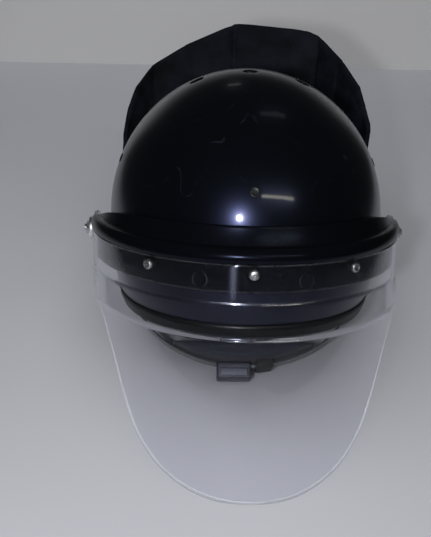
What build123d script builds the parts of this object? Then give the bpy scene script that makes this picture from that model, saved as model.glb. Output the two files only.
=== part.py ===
from build123d import *

import os
from math import asin, atan2, cos, degrees, hypot, radians, sin, sqrt

# A police riot helmet with its visor down. It is built upright, as on a head: the visor's pivots lie on
# the X axis, the face looks along -Y, and heights are counted from the pivots. The last section tips it
# back on to the table, where it stands on the visor's lower edge and on the root of the neck guard.

# Sizes that everything shares, in millimetres
fit_gap = 0.1
soft_gap = 0.3
overrun = 20

# Shell: an egg-shaped bowl, half an ellipsoid above the pivots and a slower-closing skirt below them
shell_half_width = 118
shell_half_length = 142
crown_height = 123
skirt_curve_height = 190
rim_drop = 75
shell_wall = 4

# Vents, and the rivets that hold the liner
vent_radius = 6.2
vent_places = [(0, 120.5), (62, 112.3), (-62, 112.3)]
vent_insert_wall = 1.3
vent_insert_recess = 1.2
vent_lip_width = 2
vent_lip_thickness = 1.2
vent_bar_width = 1.4
vent_bar_depth = 1.5
vent_bar_inset = 2.2
rivet_places = [(0, 36.8), (78, 47), (-78, 47), (148, 30), (-148, 30)]
rivet_shank_radius = 1.9
rivet_head_radius = 4
rivet_head_height = 0.6
rivet_tail_radius = 3.2
rivet_tail_height = 1.2
washer_radius = 5.5
washer_thickness = 1
washer_seat = 0.2
pocket_radius = 8
pocket_depth = 5

# Rubber edging round the shell's rim
trim_below_rim = 3.5
trim_above_rim = 9
trim_outside = 2.4
trim_inside = 2.1
trim_lean = 2.4

# Foam liner and comfort pads, each counted inwards from the shell's outer surface
liner_gap = 0.5
liner_thickness = 14
liner_drop = 47
pad_thickness = 9
crown_pad_radius = 45
pad_edge_round = 3
brow_pad_angle = 50
brow_pad_top = 20
brow_pad_drop = 64
nape_pad_angle = 42
nape_pad_top = 12
nape_pad_drop = 54
temple_pad_angles = (68, 108)
temple_pad_top = 5
temple_pad_drop = 46

# Visor: a flange that carries the seal, a shoulder that steps forwards, and a tall clear wall
visor_thickness = 3
flange_half_width = 133.6
flange_half_length = 157
flange_drop = 13.3
step_drop = 43
shoulder_drop = 63
wall_half_width = 135.5
wall_half_length = 178
bottom_half_width = 130
bottom_half_length = 176
visor_drop = 193
visor_edge_shares = [
    (-0.088, 0.155), (-0.028, 0.186), (0.10, 0.232), (0.335, 0.300), (0.483, 0.358), (0.556, 0.440),
    (0.607, 0.520), (0.668, 0.648), (0.736, 0.777), (0.826, 0.881), (0.882, 0.927), (0.927, 0.959),
    (0.972, 0.986), (1.0, 0.997), (1.1, 1.02),
]
ear_radius = 15

# Pivots' place behind and below the middle of the visor's flange
pivot_back = 5
pivot_drop = 19

# Seal: a black rubber moulding from pivot to pivot, with a lip, a bead and a tail behind the visor
seal_end = 20
lip_height = 13.5
lip_thickness = 1.2
lip_stand_off = 3
swing_reach = 152.8
swing_half_width = 123
groove_height = -1
groove_depth = 7
bead_overhang = 1.6
tail_gap = 0.2
tail_thickness = 1.2
tail_drop = 33
seal_root_inset = 6
lip_line_shares = [(0.92, 1.0), (0.62, 0.86), (0.40, 0.52), (0.25, 0.14), (0.12, -0.25)]
flare_pull = 2.6

# Retaining strip behind the seal's tail, and what fastens it
strip_thickness = 1.8
strip_top_drop = 14.5
strip_drop = 34.5
button_places = (14.9, -14.9)
button_height = -26
button_radius = 6
screw_places = (0, 31.3, -31.3)
screw_height = -20
screw_radius = 2
screw_head_radius = 4
screw_head_height = 2.3
head_round_share = 0.7
nut_radius = 3.8
nut_thickness = 2.2
screw_tip = 0.4

# Pivots, from the shell outwards
pivot_bolt_radius = 3
bolt_head_radius = 6.5
bolt_head_height = 3
bolt_head_seat = 1.6
bush_radius = 9
bush_journal_radius = 5
journal_gap = 0.06
friction_washer_thickness = 0.8
pivot_plate_radius = 9.5
pivot_plate_thickness = 1.8
spring_washer_radius = 6.5
spring_washer_thickness = 0.8
nut_across_flats = 10
pivot_nut_thickness = 3.5
bolt_stub = 1.8

# Chin strap: a loop of webbing in a plane that leans towards the face
anchor_back = -10
anchor_drop = 60
anchor_inset = 2.2
strap_reach_forward = 41.5
strap_depth = 81.5
strap_width = 20
strap_thickness = 2
anchor_plate_width = 18
anchor_plate_height = 10
anchor_shoulder_radius = 3
strap_tab = 5
anchor_plate_thickness = 1.5
cup_half_width = 62
cup_width = 40
cup_thickness = 16
cup_over_strap = 3.2
buckle_left = -23
buckle_right = 6
buckle_depth = 22
buckle_above_strap = 2.6
buckle_below_strap = 11.4
buckle_round = 2
button_pocket_width = 24.6
button_pocket_height = 7.6
button_pocket_depth = 10
release_gap = 0.3
release_proud = 1
release_depth = 6
release_edge = 1.6
tongue_length = 20
tongue_width = 15
tongue_thickness = 1.6
tongue_eye_length = 4
slider_place = 11
slider_length = 14
slider_wall = 2.2

# Neck guard: stiff padded cloth, rooted under the rear rim and turned up behind the shell
guard_thickness = 3.5
guard_root_half_length = 139.5
guard_bottom = 84
guard_floor = 3
guard_leg_gap = 2.4
guard_leg_thickness = 3
guard_leg_top = 55
guard_front = 45
guard_height = 178
guard_lean_share = 0.36
guard_corner_angles = [-104, -88, -70, -51, -33, -17, -2, 13, 27, 37, 54, 72, 89, 104]
guard_fold_shares = [1.0, 1.0, 1.01, 0.99, 1.03, 0.985, 1.03, 0.985, 1.03, 1.0, 0.99, 1.01, 1.0, 1.0]
guard_hem_shares = [
    (-0.92, -0.56), (-0.95, 0.0), (-0.965, 0.30), (-0.94, 0.44), (-0.885, 0.56), (-0.765, 0.68),
    (-0.48, 0.80), (-0.07, 0.925), (0.01, 0.93), (0.57, 0.895), (0.69, 0.86), (0.85, 0.73),
    (0.965, 0.59), (1.0, 0.49), (1.03, 0.385), (1.0, 0.20), (0.92, -0.56),
]
guard_half_width = 120
snap_angles = (180, 152, -152, 124, -124)
snap_height = -61
snap_cap_radius = 5
snap_cap_thickness = 1.8
snap_collar_radius = 4
snap_collar_gap = 1.6
snap_shank_radius = 2
snap_head_radius = 4.5
snap_head_thickness = 1.4

# Where the helmet touches the table, front and back
front_foot = (-175.5, -191.3)
rear_foot = (137.5, -84)


def ellipse_point(azimuth, half_width, half_length):
    """Where a ray at this angle from straight ahead meets an ellipse about the Z axis, and the normal."""
    ahead = (sin(radians(azimuth)), -cos(radians(azimuth)))
    reach = 1 / hypot(ahead[0] / half_width, ahead[1] / half_length)
    x, y = ahead[0] * reach, ahead[1] * reach
    return x, y, (x / half_width**2, y / half_length**2)


def on_shell(azimuth, height):
    """Plane that touches the shell's outer surface there, with its normal outwards."""
    curve_height = crown_height if height > 0 else skirt_curve_height
    share = sqrt(1 - (height / curve_height) ** 2)
    x, y, normal = ellipse_point(azimuth, shell_half_width * share, shell_half_length * share)
    lift = (x / shell_half_width**2, y / shell_half_length**2, height / curve_height**2)
    return Plane(origin=(x, y, height), z_dir=lift)


def upright_plane(azimuth, height, half_width, half_length):
    """Plane that touches an upright ellipse wall there, with its normal level and outwards."""
    x, y, normal = ellipse_point(azimuth, half_width, half_length)
    return Plane(origin=(x, y, height), x_dir=(-normal[1], normal[0], 0), z_dir=(*normal, 0))


def dome(inset, drop):
    """Solid bowl that lies this far inside the shell's outer surface, cut level at this drop."""
    reach = shell_half_length - inset
    with BuildPart() as bowl:
        with BuildSketch(Plane.XZ):
            with BuildLine():
                skirt_angle = degrees(asin(drop / skirt_curve_height))
                skirt = EllipticalCenterArc(
                    (0, 0), reach, skirt_curve_height, start_angle=-skirt_angle, arc_size=skirt_angle
                )
                crown = EllipticalCenterArc((0, 0), reach, crown_height - inset, start_angle=0, arc_size=90)
                Line(crown @ 1, (0, -drop))
                Line((0, -drop), skirt @ 0)
            make_face()
        revolve(axis=Axis.Z)
        scale(by=((shell_half_width - inset) / reach, 1, 1), about=(0, 0, 0))
    return bowl.part


def dome_layer(inset, thickness, drop):
    """A layer of this thickness inside the shell, open at the bottom."""
    with BuildPart() as layer:
        add(dome(inset, drop))
        add(dome(inset + thickness, drop + fit_gap), mode=Mode.SUBTRACT)
    return layer.part


def wedge(from_angle, to_angle, low, high):
    """Upright block between two angles from straight ahead, wide enough for any piece here."""
    reach = 2 * wall_half_length
    middle = (from_angle + to_angle) / 2
    corners = [(reach * sin(radians(a)), -reach * cos(radians(a))) for a in (from_angle, middle, to_angle)]
    with BuildPart() as block:
        with BuildSketch(Plane.XY.offset(low)):
            with BuildLine():
                Polyline((0, 0), *corners, close=True)
            make_face()
        extrude(amount=high - low)
    return block.part


def ring(points, width_ratio):
    """Oval ring about the Z axis from a closed outline of (reach ahead, height) points."""
    with BuildPart() as hoop:
        with BuildSketch(Plane.XZ):
            with BuildLine():
                Polyline(*points, close=True)
            make_face()
        revolve(axis=Axis.Z)
        scale(by=(width_ratio, 1, 1), about=(0, 0, 0))
    return hoop.part


# Reaches ahead of the edging and of the neck guard's root, which follow the shell's rim
rim_reach = shell_half_length * sqrt(1 - (rim_drop / skirt_curve_height) ** 2)
trim_bottom = -rim_drop - trim_below_rim
trim_top = -rim_drop + trim_above_rim
trim_inner = rim_reach - shell_wall - trim_inside
trim_outer = rim_reach + trim_outside
shell_ratio = shell_half_width / shell_half_length
guard_root_half_width = guard_root_half_length * shell_ratio
leg_outer = trim_inner - guard_leg_gap
leg_inner = leg_outer - guard_leg_thickness
root_inner = guard_root_half_length - guard_thickness


def snap_plane(azimuth):
    """Plane on the outside of the guard's inner leg, square to a snap's axis and facing outwards."""
    return upright_plane(azimuth, snap_height, leg_outer * shell_ratio, leg_outer)


# Shell, with holes for the vents, the rivets, the pivots, the strap anchors and the guard's snaps
with BuildPart() as shell:
    add(dome_layer(0, shell_wall, rim_drop))
    for azimuth, height in vent_places:
        with Locations(on_shell(azimuth, height)):
            Cylinder(vent_radius, overrun, mode=Mode.SUBTRACT)
    for azimuth, height in rivet_places:
        with Locations(on_shell(azimuth, height)):
            Cylinder(rivet_shank_radius + fit_gap, overrun, mode=Mode.SUBTRACT)
    with Locations(Plane(origin=(0, pivot_back, -pivot_drop), z_dir=(1, 0, 0))):
        Cylinder(pivot_bolt_radius + fit_gap, 3 * shell_half_width, mode=Mode.SUBTRACT)
    with Locations(Plane(origin=(0, anchor_back, -anchor_drop), z_dir=(1, 0, 0))):
        Cylinder(rivet_shank_radius + fit_gap, 3 * shell_half_width, mode=Mode.SUBTRACT)
    for azimuth in snap_angles:
        with Locations(snap_plane(azimuth)):
            Cylinder(snap_shank_radius + fit_gap, 2 * overrun, mode=Mode.SUBTRACT)

# Edging: a rubber channel that hugs both faces of the shell's lower edge
with BuildPart() as rim_trim:
    add(ring(
        [(trim_inner, trim_bottom), (trim_outer, trim_bottom), (trim_outer + trim_lean, trim_top),
         (trim_inner + trim_lean, trim_top)],
        shell_ratio,
    ))
    fillet(rim_trim.edges().group_by(Axis.Z)[0], trim_inside / 2)
    fillet(rim_trim.edges().group_by(Axis.Z)[-1], trim_inside / 3)
    add(dome(-fit_gap, rim_drop + fit_gap) - dome(shell_wall + fit_gap, rim_drop + overrun), mode=Mode.SUBTRACT)

# Vent inserts: a short tube with a crossbar in each hole, held by a lip inside the shell
with BuildPart() as vent_inserts:
    for azimuth, height in vent_places:
        place = on_shell(azimuth, height)
        lip_seat = shell_wall + soft_gap
        with Locations(place.offset(-vent_insert_recess)):
            Cylinder(
                vent_radius - fit_gap, lip_seat - vent_insert_recess + vent_lip_thickness,
                align=(Align.CENTER, Align.CENTER, Align.MAX),
            )
        with Locations(place.offset(-lip_seat)):
            Cylinder(
                vent_radius + vent_lip_width, vent_lip_thickness, align=(Align.CENTER, Align.CENTER, Align.MAX)
            )
        with Locations(place):
            Cylinder(vent_radius - fit_gap - vent_insert_wall, overrun, mode=Mode.SUBTRACT)
        with Locations(place.offset(-vent_bar_inset)):
            Box(
                2 * (vent_radius - vent_insert_wall), vent_bar_width, vent_bar_depth,
                align=(Align.CENTER, Align.CENTER, Align.MAX),
            )

# Rivets through the shell, with a washer under each tail
with BuildPart() as shell_rivets:
    for azimuth, height in rivet_places:
        place = on_shell(azimuth, height)
        tail_seat = shell_wall + washer_seat + washer_thickness
        with Locations(place):
            Cylinder(rivet_head_radius, rivet_head_height, align=(Align.CENTER, Align.CENTER, Align.MIN))
            Cylinder(
                rivet_shank_radius, tail_seat + rivet_tail_height, align=(Align.CENTER, Align.CENTER, Align.MAX)
            )
        with Locations(place.offset(-tail_seat)):
            Cylinder(rivet_tail_radius, rivet_tail_height, align=(Align.CENTER, Align.CENTER, Align.MAX))
with BuildPart() as rivet_washers:
    for azimuth, height in rivet_places:
        with Locations(on_shell(azimuth, height).offset(-shell_wall - washer_seat)):
            Cylinder(washer_radius, washer_thickness, align=(Align.CENTER, Align.CENTER, Align.MAX))
            Cylinder(rivet_shank_radius + fit_gap, overrun, mode=Mode.SUBTRACT)

# Foam liner, with pockets for the rivet tails, the vents and the pivot bolts' heads
liner_inset = shell_wall + liner_gap
pad_inset = liner_inset + liner_thickness + soft_gap
with BuildPart() as foam_liner:
    add(dome_layer(liner_inset, liner_thickness, liner_drop))
    for azimuth, height in rivet_places:
        with Locations(on_shell(azimuth, height).offset(-shell_wall)):
            Cylinder(pocket_radius, pocket_depth, align=(Align.CENTER, Align.CENTER, Align.MAX), mode=Mode.SUBTRACT)
    for azimuth, height in vent_places:
        with Locations(on_shell(azimuth, height)):
            Cylinder(vent_radius + 2 * vent_lip_width, 3 * overrun, mode=Mode.SUBTRACT)
    for side in (1, -1):
        with Locations(Plane(origin=(side * shell_half_width, pivot_back, -pivot_drop), z_dir=(-side, 0, 0))):
            Cylinder(
                pocket_radius + vent_lip_width, shell_wall + pocket_depth,
                align=(Align.CENTER, Align.CENTER, Align.MIN), mode=Mode.SUBTRACT,
            )


def pad(from_angle, to_angle, low, high):
    """A comfort pad inside the liner between two angles and two heights, with rounded edges."""
    with BuildPart() as cushion:
        add(dome_layer(pad_inset, pad_thickness, -low + overrun))
        add(wedge(from_angle, to_angle, low, high), mode=Mode.INTERSECT)
        fillet(cushion.edges(), pad_edge_round)
    return cushion.part


with BuildPart() as crown_pad:
    add(dome_layer(pad_inset, pad_thickness, rim_drop))
    Cylinder(
        crown_pad_radius, crown_height, align=(Align.CENTER, Align.CENTER, Align.MIN), mode=Mode.INTERSECT
    )
    fillet(crown_pad.edges().filter_by(lambda edge: edge.length > crown_pad_radius), pad_edge_round)
with BuildPart() as brow_pad:
    add(pad(-brow_pad_angle, brow_pad_angle, -brow_pad_drop, -brow_pad_top))
with BuildPart() as nape_pad:
    add(pad(180 - nape_pad_angle, 180 + nape_pad_angle, -nape_pad_drop, -nape_pad_top))
with BuildPart() as temple_pads:
    for side in (1, -1):
        from_angle, to_angle = sorted(side * angle for angle in temple_pad_angles)
        add(pad(from_angle, to_angle, -temple_pad_drop, -temple_pad_top))


def visor_form(inset):
    """The visor's solid outer form: an upright flange, a shoulder that widens downwards, a wall that closes a little."""
    with BuildPart() as form:
        with BuildSketch(Plane.XY.offset(-step_drop)):
            Ellipse(flange_half_width - inset, flange_half_length - inset)
        extrude(amount=step_drop + ear_radius + overrun)
        with BuildSketch(Plane.XY.offset(-step_drop)):
            Ellipse(flange_half_width - inset, flange_half_length - inset)
        with BuildSketch(Plane.XY.offset(-shoulder_drop)):
            Ellipse(wall_half_width - inset, wall_half_length - inset)
        loft(ruled=True)
        with BuildSketch(Plane.XY.offset(-shoulder_drop)):
            Ellipse(wall_half_width - inset, wall_half_length - inset)
        with BuildSketch(Plane.XY.offset(-visor_drop - overrun)):
            Ellipse(bottom_half_width - inset, bottom_half_length - inset)
        loft(ruled=True)
    return form.part


# Table plane, through the front and the rear foot
tilt = degrees(atan2(rear_foot[1] - front_foot[1], rear_foot[0] - front_foot[0]))
table = Plane(origin=(0, *front_foot), x_dir=(1, 0, 0), z_dir=(0, -sin(radians(tilt)), cos(radians(tilt))))

# Visor: its outline is cut from the side, from the ear round each pivot to the deep front
with BuildPart() as visor:
    add(visor_form(0))
    add(visor_form(visor_thickness), mode=Mode.SUBTRACT)
    with BuildSketch(Plane.YZ.offset(-wall_half_width - overrun)):
        with BuildLine():
            front = -wall_half_length - overrun
            edge_points = [(-y * wall_half_length, -z * visor_drop) for y, z in visor_edge_shares]
            ear_rear = (pivot_back + ear_radius, -pivot_drop)
            ear_front = (pivot_back - ear_radius, -pivot_drop)
            Polyline((front, -flange_drop), (ear_front[0], -flange_drop), ear_front)
            ThreePointArc(ear_front, (pivot_back, ear_radius - pivot_drop), ear_rear)
            lower_edge = Spline(ear_rear, *edge_points, tangents=((0, -1), (-1, -0.2)))
            Polyline(lower_edge @ 1, (front, lower_edge.position_at(1).Y), (front, -flange_drop))
        make_face()
    extrude(amount=2 * (wall_half_width + overrun), mode=Mode.INTERSECT)
    with Locations(Plane(origin=(0, pivot_back, -pivot_drop), z_dir=(1, 0, 0))):
        Cylinder(bush_journal_radius + journal_gap, 3 * wall_half_width, mode=Mode.SUBTRACT)
    for azimuth in screw_places:
        with Locations(upright_plane(azimuth, screw_height, flange_half_width, flange_half_length)):
            Cylinder(screw_radius + fit_gap, 2 * overrun, mode=Mode.SUBTRACT)
    split(bisect_by=table, keep=Keep.TOP)

# Seal and strip keep inside the flange, and both end just ahead of the pivots. The room that the shell
# takes up as the visor swings over it is kept free inside the seal.
inner_ratio = (flange_half_width - visor_thickness) / (flange_half_length - visor_thickness)
tail_outer = flange_half_length - visor_thickness - tail_gap
tail_inner = tail_outer - tail_thickness
strip_outer = tail_inner - tail_gap
strip_inner = strip_outer - strip_thickness
lip_reach = shell_half_length * sqrt(1 - (lip_height / crown_height) ** 2) + lip_stand_off + lip_thickness
bead_reach = flange_half_length + bead_overhang
seal_bottom = -flange_drop + soft_gap
seal_inner = shell_half_length - seal_root_inset
ahead_of_pivots = Plane.XZ.offset(seal_end)
with BuildPart() as swing:
    Sphere(swing_reach)
    scale(by=(swing_half_width / swing_reach, 1, 1), about=(0, 0, 0))
swing_room = swing.part.moved(Location((0, pivot_back, -pivot_drop)))
with BuildPart() as visor_seal:
    with BuildSketch(Plane.XZ):
        with BuildLine():
            Line((seal_inner, lip_height), (lip_reach, lip_height))
            groove = (tail_outer - groove_depth / 2, groove_height)
            ThreePointArc((lip_reach, lip_height), (lip_reach + flare_pull, (lip_height + groove_height) / 2), groove)
            ThreePointArc(
                groove, (bead_reach, (groove_height + seal_bottom) / 2), (flange_half_length - fit_gap, seal_bottom)
            )
            Polyline(
                (flange_half_length - fit_gap, seal_bottom), (tail_outer, seal_bottom), (tail_outer, -tail_drop),
                (tail_inner, -tail_drop), (tail_inner, seal_bottom), (seal_inner, seal_bottom),
                (seal_inner, lip_height),
            )
        make_face()
    revolve(axis=Axis.Z)
    scale(by=(inner_ratio, 1, 1), about=(0, 0, 0))
    add(swing_room, mode=Mode.SUBTRACT)
    split(bisect_by=ahead_of_pivots, keep=Keep.TOP)
    with BuildSketch(Plane.YZ.offset(-wall_half_width)):
        with BuildLine():
            lip_line = Spline(*[(-y * bead_reach, z * lip_height) for y, z in lip_line_shares])
            Polyline(lip_line @ 1, (0, lip_line.position_at(1).Y), (0, 2 * lip_height),
                     (-bead_reach, 2 * lip_height), (-bead_reach, lip_height), lip_line @ 0)
        make_face()
    extrude(amount=2 * wall_half_width, mode=Mode.SUBTRACT)
    for azimuth in button_places:
        with Locations(upright_plane(azimuth, button_height, flange_half_width, flange_half_length)):
            Cylinder(button_radius + fit_gap, 2 * overrun, mode=Mode.SUBTRACT)
    for azimuth in screw_places:
        with Locations(upright_plane(azimuth, screw_height, flange_half_width, flange_half_length)):
            Cylinder(screw_radius + fit_gap, 2 * overrun, mode=Mode.SUBTRACT)

with BuildPart() as seal_strip:
    add(ring(
        [(strip_inner, -strip_drop), (strip_outer, -strip_drop), (strip_outer, -strip_top_drop),
         (strip_inner, -strip_top_drop)],
        inner_ratio,
    ))
    split(bisect_by=ahead_of_pivots, keep=Keep.TOP)
    for azimuth in screw_places:
        with Locations(upright_plane(azimuth, screw_height, flange_half_width, flange_half_length)):
            Cylinder(screw_radius + fit_gap, 2 * overrun, mode=Mode.SUBTRACT)

# Flat buttons that key the tail to the strip
button_outer = visor_thickness + tail_gap + fit_gap
with BuildPart() as strip_buttons:
    for azimuth in button_places:
        place = upright_plane(azimuth, button_height, flange_half_width, flange_half_length)
        with Locations(place.offset(-button_outer)):
            Cylinder(
                button_radius, tail_thickness + tail_gap - fit_gap - washer_seat,
                align=(Align.CENTER, Align.CENTER, Align.MAX),
            )

# Screws through the visor, the tail and the strip, each with a nut inside
nut_seat = flange_half_length - strip_inner + fit_gap
with BuildPart() as visor_screws:
    for azimuth in screw_places:
        place = upright_plane(azimuth, screw_height, flange_half_width, flange_half_length)
        with Locations(place):
            Cylinder(screw_head_radius, screw_head_height, align=(Align.CENTER, Align.CENTER, Align.MIN))
        head_top = place.offset(screw_head_height).origin
        fillet(visor_screws.edges().sort_by_distance(head_top)[0], screw_head_height * head_round_share)
        with Locations(place):
            Cylinder(
                screw_radius, nut_seat + nut_thickness + screw_tip, align=(Align.CENTER, Align.CENTER, Align.MAX)
            )
with BuildPart() as visor_nuts:
    for azimuth in screw_places:
        place = upright_plane(azimuth, screw_height, flange_half_width, flange_half_length)
        with BuildSketch(place.offset(-nut_seat)):
            RegularPolygon(nut_radius, 6)
            Circle(screw_radius + fit_gap / 2, mode=Mode.SUBTRACT)
        extrude(amount=-nut_thickness)

# Pivots: a bolt from inside the shell carries the bush that the visor turns on, and a stack of washers
ear_outer = flange_half_width
bush_flange_end = flange_half_width - visor_thickness - 9 * fit_gap
journal_end = ear_outer + 2 * fit_gap
friction_start = journal_end + fit_gap / 2
plate_start = friction_start + friction_washer_thickness + fit_gap
spring_start = plate_start + pivot_plate_thickness + fit_gap
nut_start = spring_start + spring_washer_thickness + fit_gap
bolt_end = nut_start + pivot_nut_thickness + bolt_stub
head_start = shell_half_width - shell_wall - bolt_head_seat - bolt_head_height


def pivot_side(side, distance):
    """Plane square to the pivot axis at this distance, facing outwards."""
    return Plane(origin=(side * distance, pivot_back, -pivot_drop), x_dir=(0, side, 0), z_dir=(side, 0, 0))


def pivot_pair(radius, start, end, bore):
    """The same washer on both pivots."""
    with BuildPart() as pair:
        for side in (1, -1):
            with BuildSketch(pivot_side(side, start)):
                Circle(radius)
                Circle(bore, mode=Mode.SUBTRACT)
            extrude(amount=end - start)
    return pair.part


pivot_bore = pivot_bolt_radius + fit_gap
with BuildPart() as pivot_bolts:
    for side in (1, -1):
        with BuildSketch(pivot_side(side, head_start)):
            Circle(bolt_head_radius)
        extrude(amount=bolt_head_height)
        with BuildSketch(pivot_side(side, head_start)):
            Circle(pivot_bolt_radius)
        extrude(amount=bolt_end - head_start)
with BuildPart() as pivot_bushes:
    add(pivot_pair(bush_radius, shell_half_width + fit_gap, bush_flange_end, pivot_bore))
    add(pivot_pair(bush_journal_radius, bush_flange_end, journal_end, pivot_bore))
with BuildPart() as friction_washers:
    add(pivot_pair(pivot_plate_radius, friction_start, friction_start + friction_washer_thickness, pivot_bore))
with BuildPart() as pivot_plates:
    add(pivot_pair(pivot_plate_radius, plate_start, plate_start + pivot_plate_thickness, pivot_bore))
with BuildPart() as spring_washers:
    add(pivot_pair(spring_washer_radius, spring_start, spring_start + spring_washer_thickness, pivot_bore))
with BuildPart() as pivot_nuts:
    for side in (1, -1):
        with BuildSketch(pivot_side(side, nut_start)):
            RegularPolygon(nut_across_flats / 2, 6, major_radius=False)
            Circle(pivot_bolt_radius + fit_gap / 2, mode=Mode.SUBTRACT)
        extrude(amount=pivot_nut_thickness)

# Chin strap. In its plane, up is Y and the webbing's width runs square to it.
anchor_share = sqrt(1 - (anchor_drop / skirt_curve_height) ** 2 - (anchor_back / shell_half_length) ** 2)
anchor_outside = shell_half_width * anchor_share
anchor_wall = (shell_half_width - shell_wall) * anchor_share
anchor_plate_outside = anchor_wall - anchor_inset
strap_half_span = anchor_plate_outside - anchor_plate_thickness - soft_gap
strap_drop = sqrt(strap_depth**2 - strap_reach_forward**2)
strap_down = (0, -strap_reach_forward / strap_depth, -strap_drop / strap_depth)
strap_face = (0, strap_down[2], -strap_down[1])
chin = Plane(origin=(0, anchor_back, -anchor_drop), x_dir=(1, 0, 0), z_dir=strap_face)


def strap_band(from_x, to_x, inset, thickness, width):
    """Part of the hanging loop between two distances from the middle, as a band of this thickness and width."""
    with BuildPart() as band:
        with BuildSketch(chin):
            Ellipse(strap_half_span - inset, strap_depth - inset)
            Ellipse(strap_half_span - inset - thickness, strap_depth - inset - thickness, mode=Mode.SUBTRACT)
            with Locations(((from_x + to_x) / 2, -strap_depth)):
                Rectangle(to_x - from_x, 2 * strap_depth, mode=Mode.INTERSECT)
        extrude(amount=width / 2, both=True)
    return band.part


def strap_tab_end(side):
    """The webbing's end, which stands straight up behind the anchor's rivet."""
    with BuildPart() as tab:
        with BuildSketch(chin):
            with Locations((side * (strap_half_span - strap_thickness / 2), strap_tab / 2)):
                Rectangle(strap_thickness, strap_tab)
        extrude(amount=strap_width / 2, both=True)
    return tab.part


strap_end = strap_half_span + overrun
right_start = buckle_right + tongue_eye_length + soft_gap
with BuildPart() as chin_strap_left:
    add(strap_band(-strap_end, buckle_left - soft_gap, 0, strap_thickness, strap_width))
    add(strap_tab_end(-1))
    with Locations(Plane(origin=(0, anchor_back, -anchor_drop), z_dir=(1, 0, 0))):
        Cylinder(rivet_shank_radius + soft_gap, 3 * shell_half_width, mode=Mode.SUBTRACT)
with BuildPart() as chin_strap_right:
    add(strap_band(right_start, strap_end, 0, strap_thickness, strap_width))
    add(strap_tab_end(1))
    with Locations(Plane(origin=(0, anchor_back, -anchor_drop), z_dir=(1, 0, 0))):
        Cylinder(rivet_shank_radius + soft_gap, 3 * shell_half_width, mode=Mode.SUBTRACT)

# Anchors: on each side a shouldered rivet holds a plate and the webbing's end inside the shell
with BuildPart() as strap_anchors:
    for side in (1, -1):
        with BuildSketch(Plane(
            origin=(side * anchor_plate_outside, anchor_back, -anchor_drop),
            x_dir=(0, side, 0), z_dir=(-side, 0, 0),
        )):
            RectangleRounded(anchor_plate_width, anchor_plate_height, anchor_plate_height / 3)
            Circle(rivet_shank_radius + fit_gap, mode=Mode.SUBTRACT)
        extrude(amount=anchor_plate_thickness)
with BuildPart() as strap_rivets:
    for side in (1, -1):
        with Locations(Plane(origin=(side * anchor_outside, anchor_back, -anchor_drop), z_dir=(side, 0, 0))):
            Cylinder(rivet_head_radius, 2 * rivet_head_height)
    add(dome(-fit_gap, rim_drop), mode=Mode.SUBTRACT)
    for side in (1, -1):
        outside = Plane(origin=(side * anchor_outside, anchor_back, -anchor_drop), z_dir=(side, 0, 0))
        tail_place = anchor_outside - strap_half_span + strap_thickness + soft_gap
        shoulder_place = anchor_outside - anchor_plate_outside - fit_gap
        with Locations(outside.offset(rivet_head_height / 2)):
            Cylinder(
                rivet_shank_radius, tail_place + rivet_head_height, align=(Align.CENTER, Align.CENTER, Align.MAX)
            )
        with Locations(outside.offset(-shoulder_place)):
            Cylinder(
                anchor_shoulder_radius, anchor_inset - 3 * soft_gap, align=(Align.CENTER, Align.CENTER, Align.MIN)
            )
        with Locations(outside.offset(-tail_place)):
            Cylinder(rivet_head_radius, rivet_tail_height, align=(Align.CENTER, Align.CENTER, Align.MAX))

# Chin cup: a padded crescent that rides on the webbing
with BuildPart() as chin_cup:
    with BuildSketch(chin):
        with BuildLine():
            cup_low = strap_depth - strap_thickness - cup_over_strap
            left, right = (-cup_half_width, 0), (cup_half_width, 0)
            rise = strap_depth * (1 - sqrt(1 - (cup_half_width / strap_half_span) ** 2)) - strap_thickness
            ends = [(side * cup_half_width, -cup_low + rise) for side in (-1, 1)]
            ThreePointArc(ends[0], (0, -cup_low), ends[1])
            ThreePointArc(ends[0], (0, -cup_low + cup_thickness), ends[1])
        make_face()
    extrude(amount=cup_width / 2, both=True)

# Buckle: a housing on the left strap, a tongue on the right strap, and the button that frees it
strap_bottom = -strap_depth + strap_thickness / 2
buckle_top = strap_bottom + buckle_above_strap
buckle_bottom = strap_bottom - buckle_below_strap
buckle_middle = (buckle_left + buckle_right) / 2
buckle_face = chin.offset(buckle_depth / 2)
button_middle = buckle_bottom + button_pocket_height / 2 + release_edge
slot_height = strap_thickness + 2 * soft_gap
with BuildPart() as buckle_body:
    with BuildSketch(chin):
        with Locations((buckle_middle, (buckle_top + buckle_bottom) / 2)):
            RectangleRounded(buckle_right - buckle_left, buckle_top - buckle_bottom, buckle_round)
    extrude(amount=buckle_depth / 2, both=True)
    with BuildSketch(buckle_face):
        with Locations((buckle_middle, button_middle)):
            RectangleRounded(button_pocket_width, button_pocket_height, buckle_round)
    extrude(amount=-button_pocket_depth, mode=Mode.SUBTRACT)
    with BuildSketch(chin):
        with Locations((buckle_right, strap_bottom)):
            Rectangle(2 * (tongue_length - tongue_eye_length), slot_height, mode=Mode.ADD)
    extrude(amount=tongue_width / 2 + soft_gap, both=True, mode=Mode.SUBTRACT)
with BuildPart() as buckle_release:
    with BuildSketch(buckle_face.offset(release_proud)):
        with Locations((buckle_middle, button_middle)):
            RectangleRounded(
                button_pocket_width - 2 * release_gap, button_pocket_height - 2 * release_gap,
                buckle_round - release_gap,
            )
    extrude(amount=-release_depth)
tongue_start = buckle_right - tongue_length + tongue_eye_length + 3 * soft_gap
tongue_end = buckle_right + tongue_eye_length
with BuildPart() as buckle_tongue:
    with BuildSketch(chin):
        with Locations(((tongue_start + tongue_end) / 2, strap_bottom)):
            Rectangle(tongue_end - tongue_start, tongue_thickness)
    extrude(amount=tongue_width / 2, both=True)

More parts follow.
